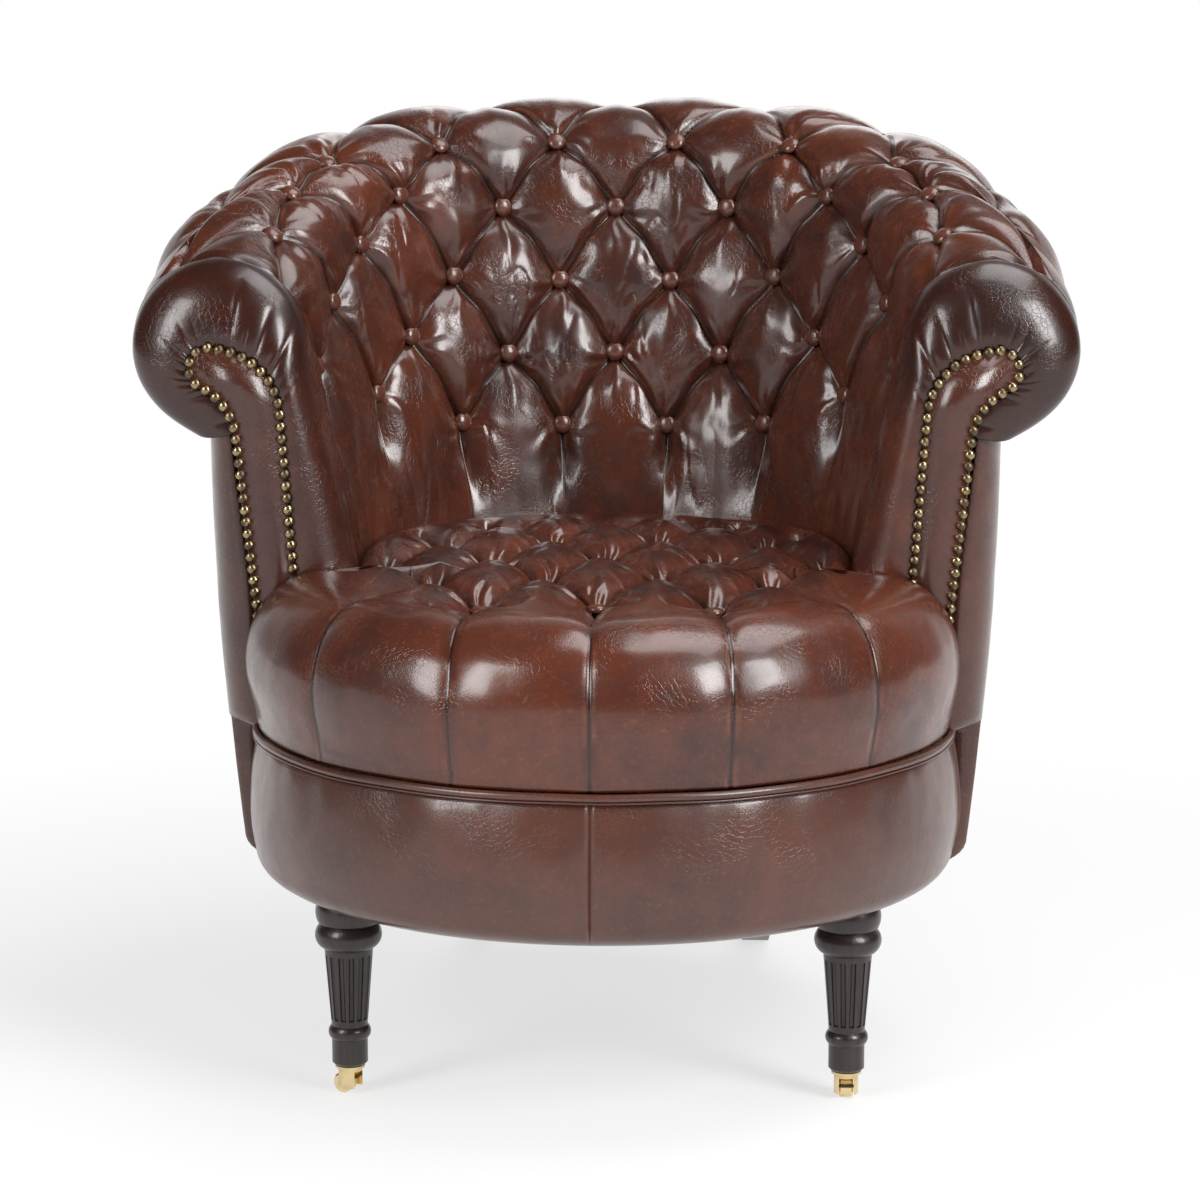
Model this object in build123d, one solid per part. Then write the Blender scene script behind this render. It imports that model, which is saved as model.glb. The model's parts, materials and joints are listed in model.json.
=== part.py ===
from build123d import *
import math
import os
from dataclasses import dataclass

os.makedirs("parts", exist_ok=True)

# A buttoned leather tub armchair, in millimetres. +Z is up, the chair faces -Y, and left
# is -X. The pieces are laid out about the middle of the round seat, and set back at the
# end so that the origin lies on the floor under the middle of the whole chair.

# Seat drum
drum_radius = 308.0
band_swell = 9.0
band_swell_height = 232.0
band_low_swell = 4.5
drum_bottom = 172.0
foot_round = 22.0
foot_bulge_share = 0.2
foot_radius = 284.0
rear_low_radius = 324.0
rear_foot_radius = 296.0
rail_inner_radius = 242.0
welt_height = 300.0
welt_radius = 3.5

# Tub of arms and back
back_height = 843.0
arm_drop = 128.0
drop_power = 1.5
front_slope = 0.45
roll_radius = 72.0
roll_reach_back = 345.0
roll_reach_arm = 337.0
wall_foot_back = 228.0
wall_foot_arm = 202.0
cover_foot = 330.0
arm_front = 50.0
front_length_shares = (0.45, 0.75, 0.92, 1.0)
front_inset_shares = (0.0, 0.28, 0.6, 1.0)
front_inset = 24.0
shell_offset = 12.0
shell_shoulder = 550.0
shell_bulge = 4.5
shell_front = 46.0
shell_front_inset = 25.0

# Coverings and stuffing
leather = 3.5
wall_stuffing = 28.0
roll_stuffing = 30.0
lining_thickness = 4.0
border_thickness = 3.8
facing_thickness = 3.0
seat_gap = 0.3

# Buttoning of arms and back, a diamond lattice of rows and columns
columns_each_side = 8
arm_first_column = 4
lowest_row_height = 537.0
row_pitch = 69.0
row_rise = 79.0
level_columns = 2
row_rise_shares = (1.0, 1.0, 1.0, 0.75, 0.0)
row_last_columns = (7, 8, 7, 6, 5)
tuft_depth = 22.0
pleat_depth = 7.0
crest_angle = 10.0
button_radius = 9.0
button_height = 6.0
button_facets = 8
button_crown_share = 0.55
button_taper = 40.0
button_shank_radius = 1.0
button_shank_gap = 0.7
button_stand = 12.0

# Seat cushion
seat_crown = 446.0
seat_shoulder = 431.0
seat_shoulder_radius = 250.0
seat_swell = 7.0
seat_swell_height = 352.0
seat_corner_share = 0.76
seat_wall_gap = 2.0
seat_row_pitch = 78.0
seat_column_pitch = 98.0
seat_first_row = 158.0
seat_row_count = 5
seat_button_limit = 205.0
seat_tuft_depth = 28.0
seat_tuft_reach = 45.0
seat_tuft_floor = 10.5
seat_tuft_curve_share = 0.3
seat_pleat_angles = (0.0, 21.5, 48.0)
seat_pleat_width_angle = 1.2
seat_pleat_depth = 5.0
seat_pleat_start = 190.0
core_edge = 20.0
core_top = 400.0
core_round = 30.0

# Webbing under the cushion
webbing_width = 50.0
webbing_pitch = 84.0
webbing_thickness = 1.6
webbing_each_way = 5
webbing_lap = 8.0

# Timber frame
post_width = 34.0
post_depth = 22.0
post_columns = (-7, -4, -1, 1, 4, 7)
top_rail_width = 26.0
top_rail_depth = 34.0
board_thickness = 14.0
board_foot_inner = 252.0
board_foot_outer = 296.0
block_width = 70.0
block_depth = 30.0
block_height = 60.0
dust_cover_thickness = 1.2

# Front legs
leg_offset = 214.5
leg_setback = 150.0
leg_end = 25.4
spigot_radius = 11.0
spigot_length = 42.0
collar_radius = 18.0
ring_radius = 28.3
ring_height = 19.0
ring_swell = 2.3
neck_radius = 24.5
neck_height = 1.5
bulb_radius = 28.6
bulb_height = 21.0
bulb_foot_radius = 22.0
flute_top_radius = 21.0
flute_foot_radius = 15.6
taper_foot = 62.0
step_height = 0.6
flute_inset = 5.0
flute_count = 14
flute_radius = 2.3
low_ring_radius = 18.4
low_ring_height = 12.0
shank_radius = 15.5
shank_chamfer = 3.0

# Rear legs
rear_leg_offset = 150.0
rear_leg_setback = 205.0
rear_foot_offset = 140.0
rear_foot_setback = 366.0
rear_leg_top = 42.0
rear_leg_foot = 27.0
rear_leg_curve_shares = (0.0, 0.12, 0.42, 1.0)

# Castors
wheel_radius = 9.0
wheel_width = 12.0
wheel_edge = 1.4
wheel_bore_gap = 0.08
axle_radius = 1.6
axle_half_length = 8.6
hood_radius = 10.5
hood_wall = 3.0
hood_bottom = 5.5
hood_gap = 0.2
slot_gap = 0.6
castor_trail = 5.0
left_castor_turn = 65.0
right_castor_turn = 0.0
plate_radius = 13.0
plate_thickness = 2.0
stem_radius = 3.5
stem_length = 30.0
pivot_radius = 2.5
pivot_head_radius = 3.6
pivot_head = 0.8
pivot_gap = 0.05

# Scrolled facings and their nails. The head's points follow the roll's radius, from the
# middle of the roll: first the corner of the shoulder, last the end of the neck.
facing_foot = 330.0
facing_inner_foot = 263.0
facing_outer_foot = 295.0
facing_head_shares = (
    (-0.78, -0.51),
    (-0.57, -0.06),
    (-0.04, 0.21),
    (0.31, -0.03),
    (0.15, -0.25),
    (-0.12, -0.49),
    (-0.25, -0.86),
)
nail_radius = 4.8
nail_height = 2.6
nail_pitch = 10.4
nail_facets = 8
nail_taper = 40.0
nail_lowest = 372.0
nail_margin = 0.6

# Overrun of cutting tools past the faces that they cut
cut_over = 2.0

quarter = 90.0
half = 180.0
row_total = len(row_last_columns)
upright = (Align.CENTER, Align.CENTER, Align.MIN)
rail_top = welt_height - welt_radius
rail_bottom = drum_bottom + leather + seat_gap
cushion_foot = welt_height + welt_radius + seat_gap
webbing_top = rail_top + 2 * webbing_thickness
roll_core_radius = roll_radius - roll_stuffing
board_front = arm_front - border_thickness
board_back = board_front - board_thickness
outer_reach = roll_reach_back + 2 * roll_radius
depth_middle = (roll_reach_back + roll_radius - drum_radius - band_swell) / 2


@dataclass(frozen=True)
class Station:
    """A place round the tub: an angle from the middle of the back, then a length forward."""

    angle: float
    forward: float = 0.0

    def outward(self):
        turn = math.radians(self.angle)
        return Vector(math.sin(turn), math.cos(turn), 0)

    def at(self, reach, height):
        return Vector(0, -self.forward, height) + self.outward() * reach

    def arm_share(self):
        return (1 - math.cos(math.radians(self.angle))) ** drop_power

    def roll_height(self):
        drop = arm_drop * self.arm_share() + front_slope * self.forward
        return back_height - roll_radius - drop

    def roll_reach(self):
        return roll_reach_back + (roll_reach_arm - roll_reach_back) * self.arm_share()

    def wall_foot(self):
        return wall_foot_back + (wall_foot_arm - wall_foot_back) * self.arm_share()

    def wall_reach(self, height):
        """How far out the face of the padded wall lies at a height below the roll."""
        top = self.roll_reach() - roll_radius
        share = (height - cover_foot) / (self.roll_height() - cover_foot)
        return self.wall_foot() + (top - self.wall_foot()) * share

    def roll_point(self, degrees, radius):
        turn = math.radians(degrees)
        reach = self.roll_reach() + radius * math.cos(turn)
        return self.at(reach, self.roll_height() + radius * math.sin(turn))

    def pad_point(self, run, depth=0.0):
        """A point on the padding: up the wall by height, then round the roll by arc length."""
        past = run - self.roll_height()
        if past <= 0:
            return self.at(self.wall_reach(run) + depth, run)
        return self.roll_point(half - math.degrees(past / roll_radius), roll_radius - depth)

    def roll_run(self, degrees):
        """The run at which the padding has turned to an angle of the roll."""
        return self.roll_height() + math.radians(half - degrees) * roll_radius


def column_station(column):
    return Station(quarter * column / columns_each_side)


def tub_stations(forward):
    """Every column's station, and one ahead of each arm."""
    columns = range(-columns_each_side, columns_each_side + 1)
    middle = [column_station(column) for column in columns]
    return [Station(-quarter, forward)] + middle + [Station(quarter, forward)]


def ruled_loft(section, stations):
    return Solid.make_loft([section(station) for station in stations], ruled=True)


def face_of(edges):
    return Face(Wire(edges))


def turned(edges, first=0.0, last=2 * half):
    """A solid turned about the upright axis, between two angles from the middle of the back."""
    face = face_of(edges).rotate(Axis.Z, quarter - last)
    return revolve(face, Axis.Z, last - first)


def on_side(solid, side):
    """A piece made for the right, mirrored for the left."""
    if side < 0:
        return mirror(solid, Plane.YZ)
    return solid


def row_run(row, column):
    """How far up the padding a row of the lattice crosses a column."""
    share = (abs(column) - level_columns) / (columns_each_side - level_columns)
    share = min(max(share, 0.0), 1.0)
    ease = share * share * (3 - 2 * share)
    return lowest_row_height + row * row_pitch + row_rise * row_rise_shares[row] * ease


def on_lattice(row, column):
    return (row + column) % 2 == 1


def has_button(row, column):
    return on_lattice(row, column) and abs(column) <= row_last_columns[row]


def row_depth(row, column):
    if has_button(row, column):
        return tuft_depth
    return pleat_depth if on_lattice(row, column) else 0.0


def bend(start, middle, end):
    """An arc through three points, or a line where they lie in line."""
    width = (middle - start).cross(end - start).length
    if width < (end - start).length * seat_gap:
        return Line(start, end)
    return ThreePointArc(start, middle, end)


def tuck_angle():
    """The angle of the roll at which its leather is tucked clear of the outside panel."""
    reach = roll_reach_back + shell_offset
    bulge = reach / math.cos(math.radians(quarter / columns_each_side / 2)) - reach
    return -math.degrees(math.acos((shell_offset + bulge + 2 * seat_gap) / roll_core_radius))


def cover_section(station, column, inset=0.0, relief=1.0):
    """Closed outline of the buttoned leather and its stuffing at one station."""
    rows = range(row_total)
    runs = [cover_foot] + [row_run(row, column) for row in rows]
    depths = [inset] + [inset + relief * row_depth(row, column) for row in rows]
    runs += [station.roll_run(crest_angle), station.roll_run(tuck_angle())]
    depths += [inset, inset]
    edges = []
    for low, high, low_depth, high_depth in zip(runs, runs[1:], depths, depths[1:]):
        middle_depth = min(low_depth, high_depth) + abs(high_depth - low_depth) / 4
        start = station.pad_point(low, low_depth)
        middle = station.pad_point((low + high) / 2, middle_depth)
        edges.append(bend(start, middle, station.pad_point(high, high_depth)))
    angles = (tuck_angle(), (tuck_angle() + quarter) / 2, quarter, (quarter + half) / 2, half)
    inner = [station.roll_point(angle, roll_core_radius) for angle in angles]
    back_foot = station.at(station.wall_foot() + wall_stuffing, cover_foot)
    edges += [
        Line(station.pad_point(runs[-1], inset), inner[0]),
        ThreePointArc(inner[0], inner[1], inner[2]),
        ThreePointArc(inner[2], inner[3], inner[4]),
        Line(inner[4], back_foot),
        Line(back_foot, station.pad_point(cover_foot, inset)),
    ]
    return Wire(edges)


def make_inside_back():
    """The buttoned inside of the back, rolled over its top."""
    columns = range(-arm_first_column, arm_first_column + 1)
    sections = [cover_section(column_station(column), column) for column in columns]
    return Solid.make_loft(sections, ruled=True)


def make_inside_arm(side):
    """The buttoned inside of one arm, rolled over and drawn in round its front."""
    columns = range(arm_first_column, columns_each_side + 1)
    sections = [cover_section(column_station(side * column), column) for column in columns]
    for length_share, inset_share in zip(front_length_shares, front_inset_shares):
        station = Station(side * quarter, arm_front * length_share)
        relief = (1 - inset_share) ** 2
        inset = front_inset * inset_share
        sections.append(cover_section(station, columns_each_side + 1, inset, relief))
    return Solid.make_loft(sections, ruled=True)


def covered_button(place):
    """A leather covered button on a short shank, looking along the place's Z axis."""
    skirt_height = button_height * (1 - button_crown_share)
    skirt = extrude(RegularPolygon(button_radius, button_facets), skirt_height)
    rim = Pos(0, 0, skirt_height) * RegularPolygon(button_radius, button_facets)
    crown = extrude(rim, button_height * button_crown_share, taper=button_taper)
    shank_length = button_stand - button_shank_gap
    shank = extrude(RegularPolygon(button_shank_radius, 4), shank_length)
    return place * (skirt + crown + Pos(0, 0, -shank_length) * shank)


def lattice_point(row, column):
    """A crossing of the lattice on the padding's face, no further than the last column."""
    column = max(-columns_each_side, min(column, columns_each_side))
    return column_station(column).pad_point(row_run(row, column))


def tub_button_place(row, column):
    """Where a button lies over the bottom of its tuft, square to the padding there."""
    station = column_station(column)
    run = row_run(row, column)
    seat = station.pad_point(run, tuft_depth)
    along = lattice_point(row, column + 1) - lattice_point(row, column - 1)
    rise = station.pad_point(run + row_pitch / 2) - station.pad_point(run - row_pitch / 2)
    normal = along.cross(rise).normalized()
    if normal.dot(station.pad_point(run) - seat) < 0:
        normal = -normal
    return Plane(origin=seat + normal * button_stand, z_dir=normal).location


def make_tub_buttons():
    columns = range(-columns_each_side, columns_each_side + 1)
    lattice = [(row, column) for column in columns for row in range(row_total)]
    return [covered_button(tub_button_place(*place)) for place in lattice if has_button(*place)]


def roll_circle(station, radius):
    """A whole circle about the middle of the roll, in arcs under a half turn."""
    turns = [station.roll_point(2 * half * step / 6, radius) for step in range(6)]
    return Wire(
        [
            ThreePointArc(turns[0], turns[1], turns[2]),
            ThreePointArc(turns[2], turns[3], turns[4]),
            ThreePointArc(turns[4], turns[5], turns[0]),
        ]
    )


def top_rail_section(station, grow):
    """Section of the top rail, upright, on the inner side of the middle of the roll."""
    wide = top_rail_width / 2 + grow
    deep = top_rail_depth / 2 + grow
    reach = station.roll_reach() - top_rail_width / 2
    height = station.roll_height()
    corners = ((-wide, -deep), (wide, -deep), (wide, deep), (-wide, deep))
    return Wire.make_polygon([station.at(reach + x, height + z) for x, z in corners])


def make_top_rail(grow=0.0):
    stations = tub_stations(board_back - seat_gap)
    return ruled_loft(lambda station: top_rail_section(station, grow), stations)


def make_post(column, grow=0.0):
    """One upright, from the seat rail up under the top rail, that leans back with the wall."""
    station = column_station(column)
    across = Vector(station.outward().Y, -station.outward().X, 0)
    wide = post_width / 2 + grow
    deep = post_depth / 2 + grow
    foot_face = station.wall_foot() + wall_stuffing + lining_thickness + 2 * seat_gap
    foot = (foot_face + post_depth / 2, rail_top)
    head = (station.roll_reach() - top_rail_width / 2, station.roll_height())
    sections = []
    for reach, height in (foot, head):
        corners = ((-deep, -wide), (deep, -wide), (deep, wide), (-deep, wide))
        points = [station.at(reach + x, height) + across * y for x, y in corners]
        sections.append(Wire.make_polygon(points))
    return Solid.make_loft(sections, ruled=True) - make_top_rail(seat_gap)


def make_roll_core():
    """The firm stuffing of the roll, packed round the top rail and the heads of the posts."""
    radius = roll_core_radius - seat_gap
    stations = tub_stations(board_back - seat_gap)
    roll = ruled_loft(lambda station: roll_circle(station, radius), stations)
    roll = roll - make_top_rail(seat_gap)
    for column in post_columns:
        roll = roll - make_post(column, seat_gap)
    return roll


def lining_section(station):
    """The panel behind the wall's stuffing, from over the seat rail up to the roll."""
    foot = station.wall_foot() + wall_stuffing + seat_gap
    height = station.roll_height()
    inner_roll = station.roll_reach() - roll_core_radius + seat_gap
    share = (height - roll_core_radius - cover_foot) / (height - cover_foot)
    top = foot + (inner_roll - foot) * share
    line = ((foot, webbing_top + seat_gap), (foot, cover_foot), (top, height - roll_core_radius))
    face = [station.at(reach, rise) for reach, rise in line]
    back = [station.at(reach + lining_thickness, rise) for reach, rise in reversed(line)]
    return Wire.make_polygon(face + back)


def foot_arc(low_radius, under_radius, under_height):
    """The rounded lower edge of the drum, from its side to its underside."""
    low = Vector(low_radius, 0, drum_bottom + foot_round)
    under = Vector(under_radius, 0, under_height)
    bulge = foot_round * foot_bulge_share
    return ThreePointArc(low, (low + under) / 2 + Vector(bulge, 0, -bulge), under)


def band_side(inset):
    """The front of the drum, from the welt to the underside, set in from the leather's face."""
    top = Vector(drum_radius - inset, 0, rail_top)
    swell = Vector(drum_radius + band_swell - inset, 0, band_swell_height)
    low_radius = drum_radius + band_low_swell - inset
    under = foot_arc(low_radius, foot_radius - inset, drum_bottom + inset)
    return [ThreePointArc(top, swell, under @ 0), under]


def make_front_band(side):
    """Half of the leather band below the welt, which meets the other half in front."""
    outer = band_side(0.0)
    inner = band_side(leather)
    ends = [Line(outer[1] @ 1, inner[1] @ 1), Line(inner[0] @ 0, outer[0] @ 0)]
    return on_side(turned(outer + inner + ends, quarter, half), side)


def cut_leg_sockets(rail, offset, setback):
    """The rail with a round socket over each leg of a pair."""
    height = spigot_length + seat_gap + cut_over
    socket = Cylinder(spigot_radius + seat_gap, height, align=upright)
    for side in (-1, 1):
        rail = rail - Pos(side * offset, setback, rail_bottom - cut_over) * socket
    return rail


def make_front_rail():
    """The front half of the seat frame, bent to the drum's side."""
    side = band_side(leather + seat_gap)
    foot = side[1] @ 1
    top = side[0] @ 0
    corner = Vector(rail_inner_radius, 0, foot.Z)
    inner_top = Vector(rail_inner_radius, 0, top.Z)
    ends = [Line(foot, corner), Line(corner, inner_top), Line(inner_top, top)]
    rail = turned(side + ends, quarter, quarter + half)
    return cut_leg_sockets(rail, leg_offset, -leg_setback)


def make_rear_rail():
    """The rear half of the seat frame, which carries the posts."""
    inset = leather + seat_gap
    under = foot_arc(rear_low_radius - inset, rear_foot_radius - inset, rail_bottom)
    top = Vector(rear_low_radius - inset, 0, rail_top)
    corner = Vector(rail_inner_radius, 0, rail_bottom)
    inner_top = Vector(rail_inner_radius, 0, rail_top)
    edges = [
        Line(top, under @ 0),
        under,
        Line(under @ 1, corner),
        Line(corner, inner_top),
        Line(inner_top, top),
    ]
    return cut_leg_sockets(turned(edges, -quarter, quarter), rear_leg_offset, rear_leg_setback)


def make_corner_blocks():
    """Glue blocks inside the rails, behind each leg."""
    front = math.degrees(math.atan2(leg_offset, -leg_setback))
    rear = math.degrees(math.atan2(rear_leg_offset, rear_leg_setback))
    ring = Cylinder(rail_inner_radius - seat_gap, block_height, align=upright)
    box = Pos(0, rail_inner_radius, 0) * Box(
        block_width, 2 * block_depth, block_height, align=upright
    )
    blocks = [(Rot(0, 0, -angle) * box) & ring for angle in (-front, -rear, rear, front)]
    return [Pos(0, 0, rail_bottom) * block for block in blocks]


def make_webbing():
    """Straps across the seat frame, one layer each way."""
    straps = []
    for layer, turn in enumerate((0.0, quarter)):
        for index in range(webbing_each_way):
            offset = (index - (webbing_each_way - 1) / 2) * webbing_pitch
            edge = abs(offset) + webbing_width / 2
            reach = math.sqrt((rail_inner_radius + webbing_lap) ** 2 - edge**2)
            strap = Box(2 * reach, webbing_width, webbing_thickness, align=upright)
            height = rail_top + layer * webbing_thickness
            straps.append(Rot(0, 0, turn) * Pos(0, offset, height) * strap)
    return straps


def make_dust_cover():
    """Cloth tacked under the frame, cut out round the legs."""
    radius = foot_radius - leather - 2 * seat_gap
    sheet = Cylinder(radius, dust_cover_thickness, align=upright)
    round_hole = Cylinder(collar_radius + seat_gap, 3 * dust_cover_thickness)
    width = rear_leg_top + 2 * leather
    square_hole = Box(width, width, 3 * dust_cover_thickness)
    for side in (-1, 1):
        sheet = sheet - Pos(side * leg_offset, -leg_setback, 0) * round_hole
        sheet = sheet - Pos(side * rear_leg_offset, rear_leg_setback, 0) * square_hole
    return Pos(0, 0, rail_bottom - dust_cover_thickness) * sheet


def shell_line(station, inset):
    """The outside of the tub, from the underside up to the roll, set in from its face."""
    low_radius = rear_low_radius - inset
    under = foot_arc(low_radius, rear_foot_radius - inset, drum_bottom + min(inset, leather))
    drum = [(point.X, point.Z) for point in (under @ 1, under @ 0.5, under @ 0)]
    top_reach = station.roll_reach() + shell_offset - inset
    flank = (
        (low_radius + top_reach) / 2 + shell_bulge,
        (drum_bottom + foot_round + shell_shoulder) / 2,
    )
    shoulder = (top_reach, shell_shoulder)
    top = (top_reach, station.roll_height() - roll_core_radius - seat_gap)
    return [station.at(*point) for point in drum + [flank, shoulder, top]]


def shell_section(station, inset=0.0):
    outer = shell_line(station, inset)
    inner = shell_line(station, inset + leather)
    return Wire(
        [
            ThreePointArc(outer[0], outer[1], outer[2]),
            ThreePointArc(outer[2], outer[3], outer[4]),
            Line(outer[4], outer[5]),
            Line(outer[5], inner[5]),
            Line(inner[5], inner[4]),
            ThreePointArc(inner[4], inner[3], inner[2]),
            ThreePointArc(inner[2], inner[1], inner[0]),
            Line(inner[0], outer[0]),
        ]
    )


def make_outside_back():
    """The plain outside of the back."""
    columns = range(-arm_first_column, arm_first_column + 1)
    return Solid.make_loft([shell_section(column_station(column)) for column in columns])


def make_outside_arm(side):
    """The plain outside of one arm, turned in at its front to meet the nails."""
    columns = range(arm_first_column, columns_each_side + 1)
    rear = Solid.make_loft([shell_section(column_station(side * column)) for column in columns])
    sections = [shell_section(Station(side * quarter))]
    for length_share, inset_share in zip(front_length_shares, front_inset_shares):
        station = Station(side * quarter, shell_front * length_share)
        sections.append(shell_section(station, shell_front_inset * inset_share))
    front = Solid.make_loft(sections, ruled=True)
    space = Box(
        4 * outer_reach, 2 * shell_front, cushion_foot, align=(Align.CENTER, Align.MAX, Align.MIN)
    )
    return rear + (front - space)


def make_arm_welt(side):
    """The upright welt where the front band meets the outside of the arm."""
    line = band_side(-welt_radius - seat_gap)
    section = Plane(origin=line[0] @ 0, z_dir=line[0] % 0) * Circle(welt_radius)
    welt = sweep(section, path=Wire(line))
    return on_side(Pos(0, -welt_radius - seat_gap, 0) * welt, side)


def make_seat_welt():
    """The welt round the front of the drum."""
    place = Plane(origin=(-drum_radius, 0, welt_height), z_dir=(0, 1, 0))
    return revolve(place * Circle(welt_radius), Axis.Z, half)


def seat_side(inset):
    """The cushion's face from its welt, up its drawn-in side and over its shoulder."""
    foot = Vector(drum_radius - inset, 0, cushion_foot)
    swell = Vector(drum_radius + seat_swell - inset, 0, seat_swell_height)
    low_middle = (foot + swell) / 2 + Vector(seat_swell / 4, 0, 0)
    shoulder = Vector(seat_shoulder_radius, 0, seat_shoulder - inset)
    corner = Vector(
        shoulder.X + (swell.X - shoulder.X) * seat_corner_share,
        0,
        swell.Z + (shoulder.Z - swell.Z) * seat_corner_share,
    )
    return [ThreePointArc(foot, low_middle, swell), ThreePointArc(swell, corner, shoulder)]


def seat_height(radius):
    """Height of the plain crown of the cushion at a distance from its middle."""
    return seat_crown - (seat_crown - seat_shoulder) * (radius / seat_shoulder_radius) ** 2


def crown_arc(inset, end_radius):
    """The cushion's crown from its shoulder inward."""
    radii = (seat_shoulder_radius, (seat_shoulder_radius + end_radius) / 2, end_radius)
    return ThreePointArc(*[Vector(radius, 0, seat_height(radius) - inset) for radius in radii])


def tub_space(gap):
    """The space that arms and back take from the seat, from the wall's face outward."""
    low = rail_top
    high = max(seat_crown, seat_shoulder) + seat_tuft_depth

    def section(station):
        line = (
            (station.wall_reach(low) - gap, low),
            (station.wall_reach(high) - gap, high),
            (outer_reach, high),
            (outer_reach, low),
        )
        return Wire.make_polygon([station.at(reach, height) for reach, height in line])

    front = arm_front + facing_thickness + nail_height + seat_wall_gap
    return ruled_loft(section, tub_stations(front))


def core_solid(grow):
    """The firm core of the cushion, plain under the buttoned layer."""
    radius = drum_radius - core_edge + grow
    top = core_top + grow
    low = webbing_top + seat_gap - grow
    bend_in = core_round * (1 - math.sqrt(0.5))
    side = Vector(radius, 0, top - core_round)
    corner = Vector(radius - bend_in, 0, top - bend_in)
    crown = Vector(radius - core_round, 0, top)
    foot = Vector(radius, 0, low)
    middle = Vector(0, 0, low)
    crown_middle = Vector(0, 0, top)
    edges = [
        Line(middle, foot),
        Line(foot, side),
        ThreePointArc(side, corner, crown),
        Line(crown, crown_middle),
        Line(crown_middle, middle),
    ]
    return turned(edges) - tub_space(core_edge - grow)


def seat_button_places():
    """Where the seat's buttons lie in plan, in staggered rows from the front."""
    places = []
    for row in range(seat_row_count):
        y = row * seat_row_pitch - seat_first_row
        for step in range(-2, 3):
            x = (step + (row % 2) / 2) * seat_column_pitch
            if math.hypot(x, y) < seat_button_limit:
                places.append((x, y))
    return places


def tuft_funnel():
    """The cutting shape of one seat tuft: steep at the button, level at its rim."""
    depth = seat_tuft_depth
    floor = Vector(seat_tuft_floor, 0, -depth)
    rim = Vector(seat_tuft_reach, 0, 0)
    share = seat_tuft_curve_share
    middle = Vector(floor.X + (rim.X - floor.X) * share, 0, -depth * share)
    rim_top = rim + Vector(0, 0, depth)
    axis_top = Vector(0, 0, depth)
    axis_foot = Vector(0, 0, -depth)
    edges = [
        Line(axis_foot, floor),
        ThreePointArc(floor, middle, rim),
        Line(rim, rim_top),
        Line(rim_top, axis_top),
        Line(axis_top, axis_foot),
    ]
    return turned(edges)


def seat_pleat(angle):
    """The cutting shape of a pleat from the outer buttons down to the welt."""
    deep = seat_side(seat_pleat_depth) + [crown_arc(seat_pleat_depth, seat_pleat_start)]
    high = seat_side(-cut_over) + [crown_arc(-cut_over, seat_pleat_start)]
    ends = [Line(deep[0] @ 0, high[0] @ 0), Line(deep[-1] @ 1, high[-1] @ 1)]
    middle = half + angle
    spread = seat_pleat_width_angle / 2
    return turned(deep + high + ends, middle - spread, middle + spread)


def make_seat_cover():
    """The buttoned leather of the seat with its soft layer, over the firm core."""
    side = seat_side(0.0)
    low = webbing_top + seat_gap
    inner_foot = Vector(drum_radius - welt_radius - seat_gap, 0, low)
    inner_step = Vector(inner_foot.X, 0, cushion_foot)
    middle = Vector(0, 0, low)
    edges = side + [
        crown_arc(0.0, 0.0),
        Line((0, 0, seat_crown), middle),
        Line(middle, inner_foot),
        Line(inner_foot, inner_step),
        Line(inner_step, side[0] @ 0),
    ]
    cushion = turned(edges) - tub_space(seat_wall_gap)
    funnel = tuft_funnel()
    for x, y in seat_button_places():
        cushion = cushion - Pos(x, y, seat_height(math.hypot(x, y))) * funnel
    for angle in seat_pleat_angles:
        cushion = cushion - seat_pleat(angle)
        if angle > 0:
            cushion = cushion - seat_pleat(-angle)
    return cushion - core_solid(seat_gap)


def make_seat_buttons():
    buttons = []
    for x, y in seat_button_places():
        height = seat_height(math.hypot(x, y)) - seat_tuft_depth + button_stand
        buttons.append(covered_button(Location((x, y, height))))
    return buttons


def front_outline(forward):
    """The arm's front inside its padding: the core of the roll on a broad post."""
    station = Station(quarter, forward)
    radius = roll_core_radius - seat_gap
    reach = station.roll_reach()
    inner = station.wall_foot() + wall_stuffing + seat_gap
    inset = shell_front_inset + leather + seat_gap
    outer = reach + shell_offset - inset
    low_outer = rear_low_radius - inset
    low_height = drum_bottom + foot_round
    foot_share = (cushion_foot + seat_gap - low_height) / (shell_shoulder - low_height)
    neck_angle = -half + math.degrees(math.acos((reach - outer) / radius))
    foot = station.at(inner, cushion_foot + seat_gap)
    side = station.at(inner, cover_foot)
    angles = (half, quarter, 0.0, neck_angle / 2, neck_angle)
    head = [station.roll_point(angle, radius) for angle in angles]
    shoulder = station.at(outer, shell_shoulder)
    outer_foot = station.at(low_outer + (outer - low_outer) * foot_share, cushion_foot + seat_gap)
    return Wire(
        [
            Line(foot, side),
            Line(side, head[0]),
            ThreePointArc(head[0], head[1], head[2]),
            ThreePointArc(head[2], head[3], head[4]),
            Line(head[4], shoulder),
            Line(shoulder, outer_foot),
            Line(outer_foot, foot),
        ]
    )


def make_arm_border(side):
    """The gathered leather round the front of the arm, under the facing."""
    outlines = [front_outline(arm_front), front_outline(board_front)]
    return on_side(Solid.make_loft(outlines, ruled=True), side)


def make_arm_board(side):
    """The scrolled front board of the arm, with a foot on the seat rail."""
    outlines = [front_outline(board_front), front_outline(board_back)]
    board = Solid.make_loft(outlines, ruled=True)
    foot = Box(
        board_foot_outer - board_foot_inner,
        board_thickness,
        cushion_foot - rail_top,
        align=(Align.MIN, Align.MIN, Align.MIN),
    )
    board = board + Pos(board_foot_inner, -board_front, rail_top + seat_gap) * foot
    return on_side(board, side)


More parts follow.
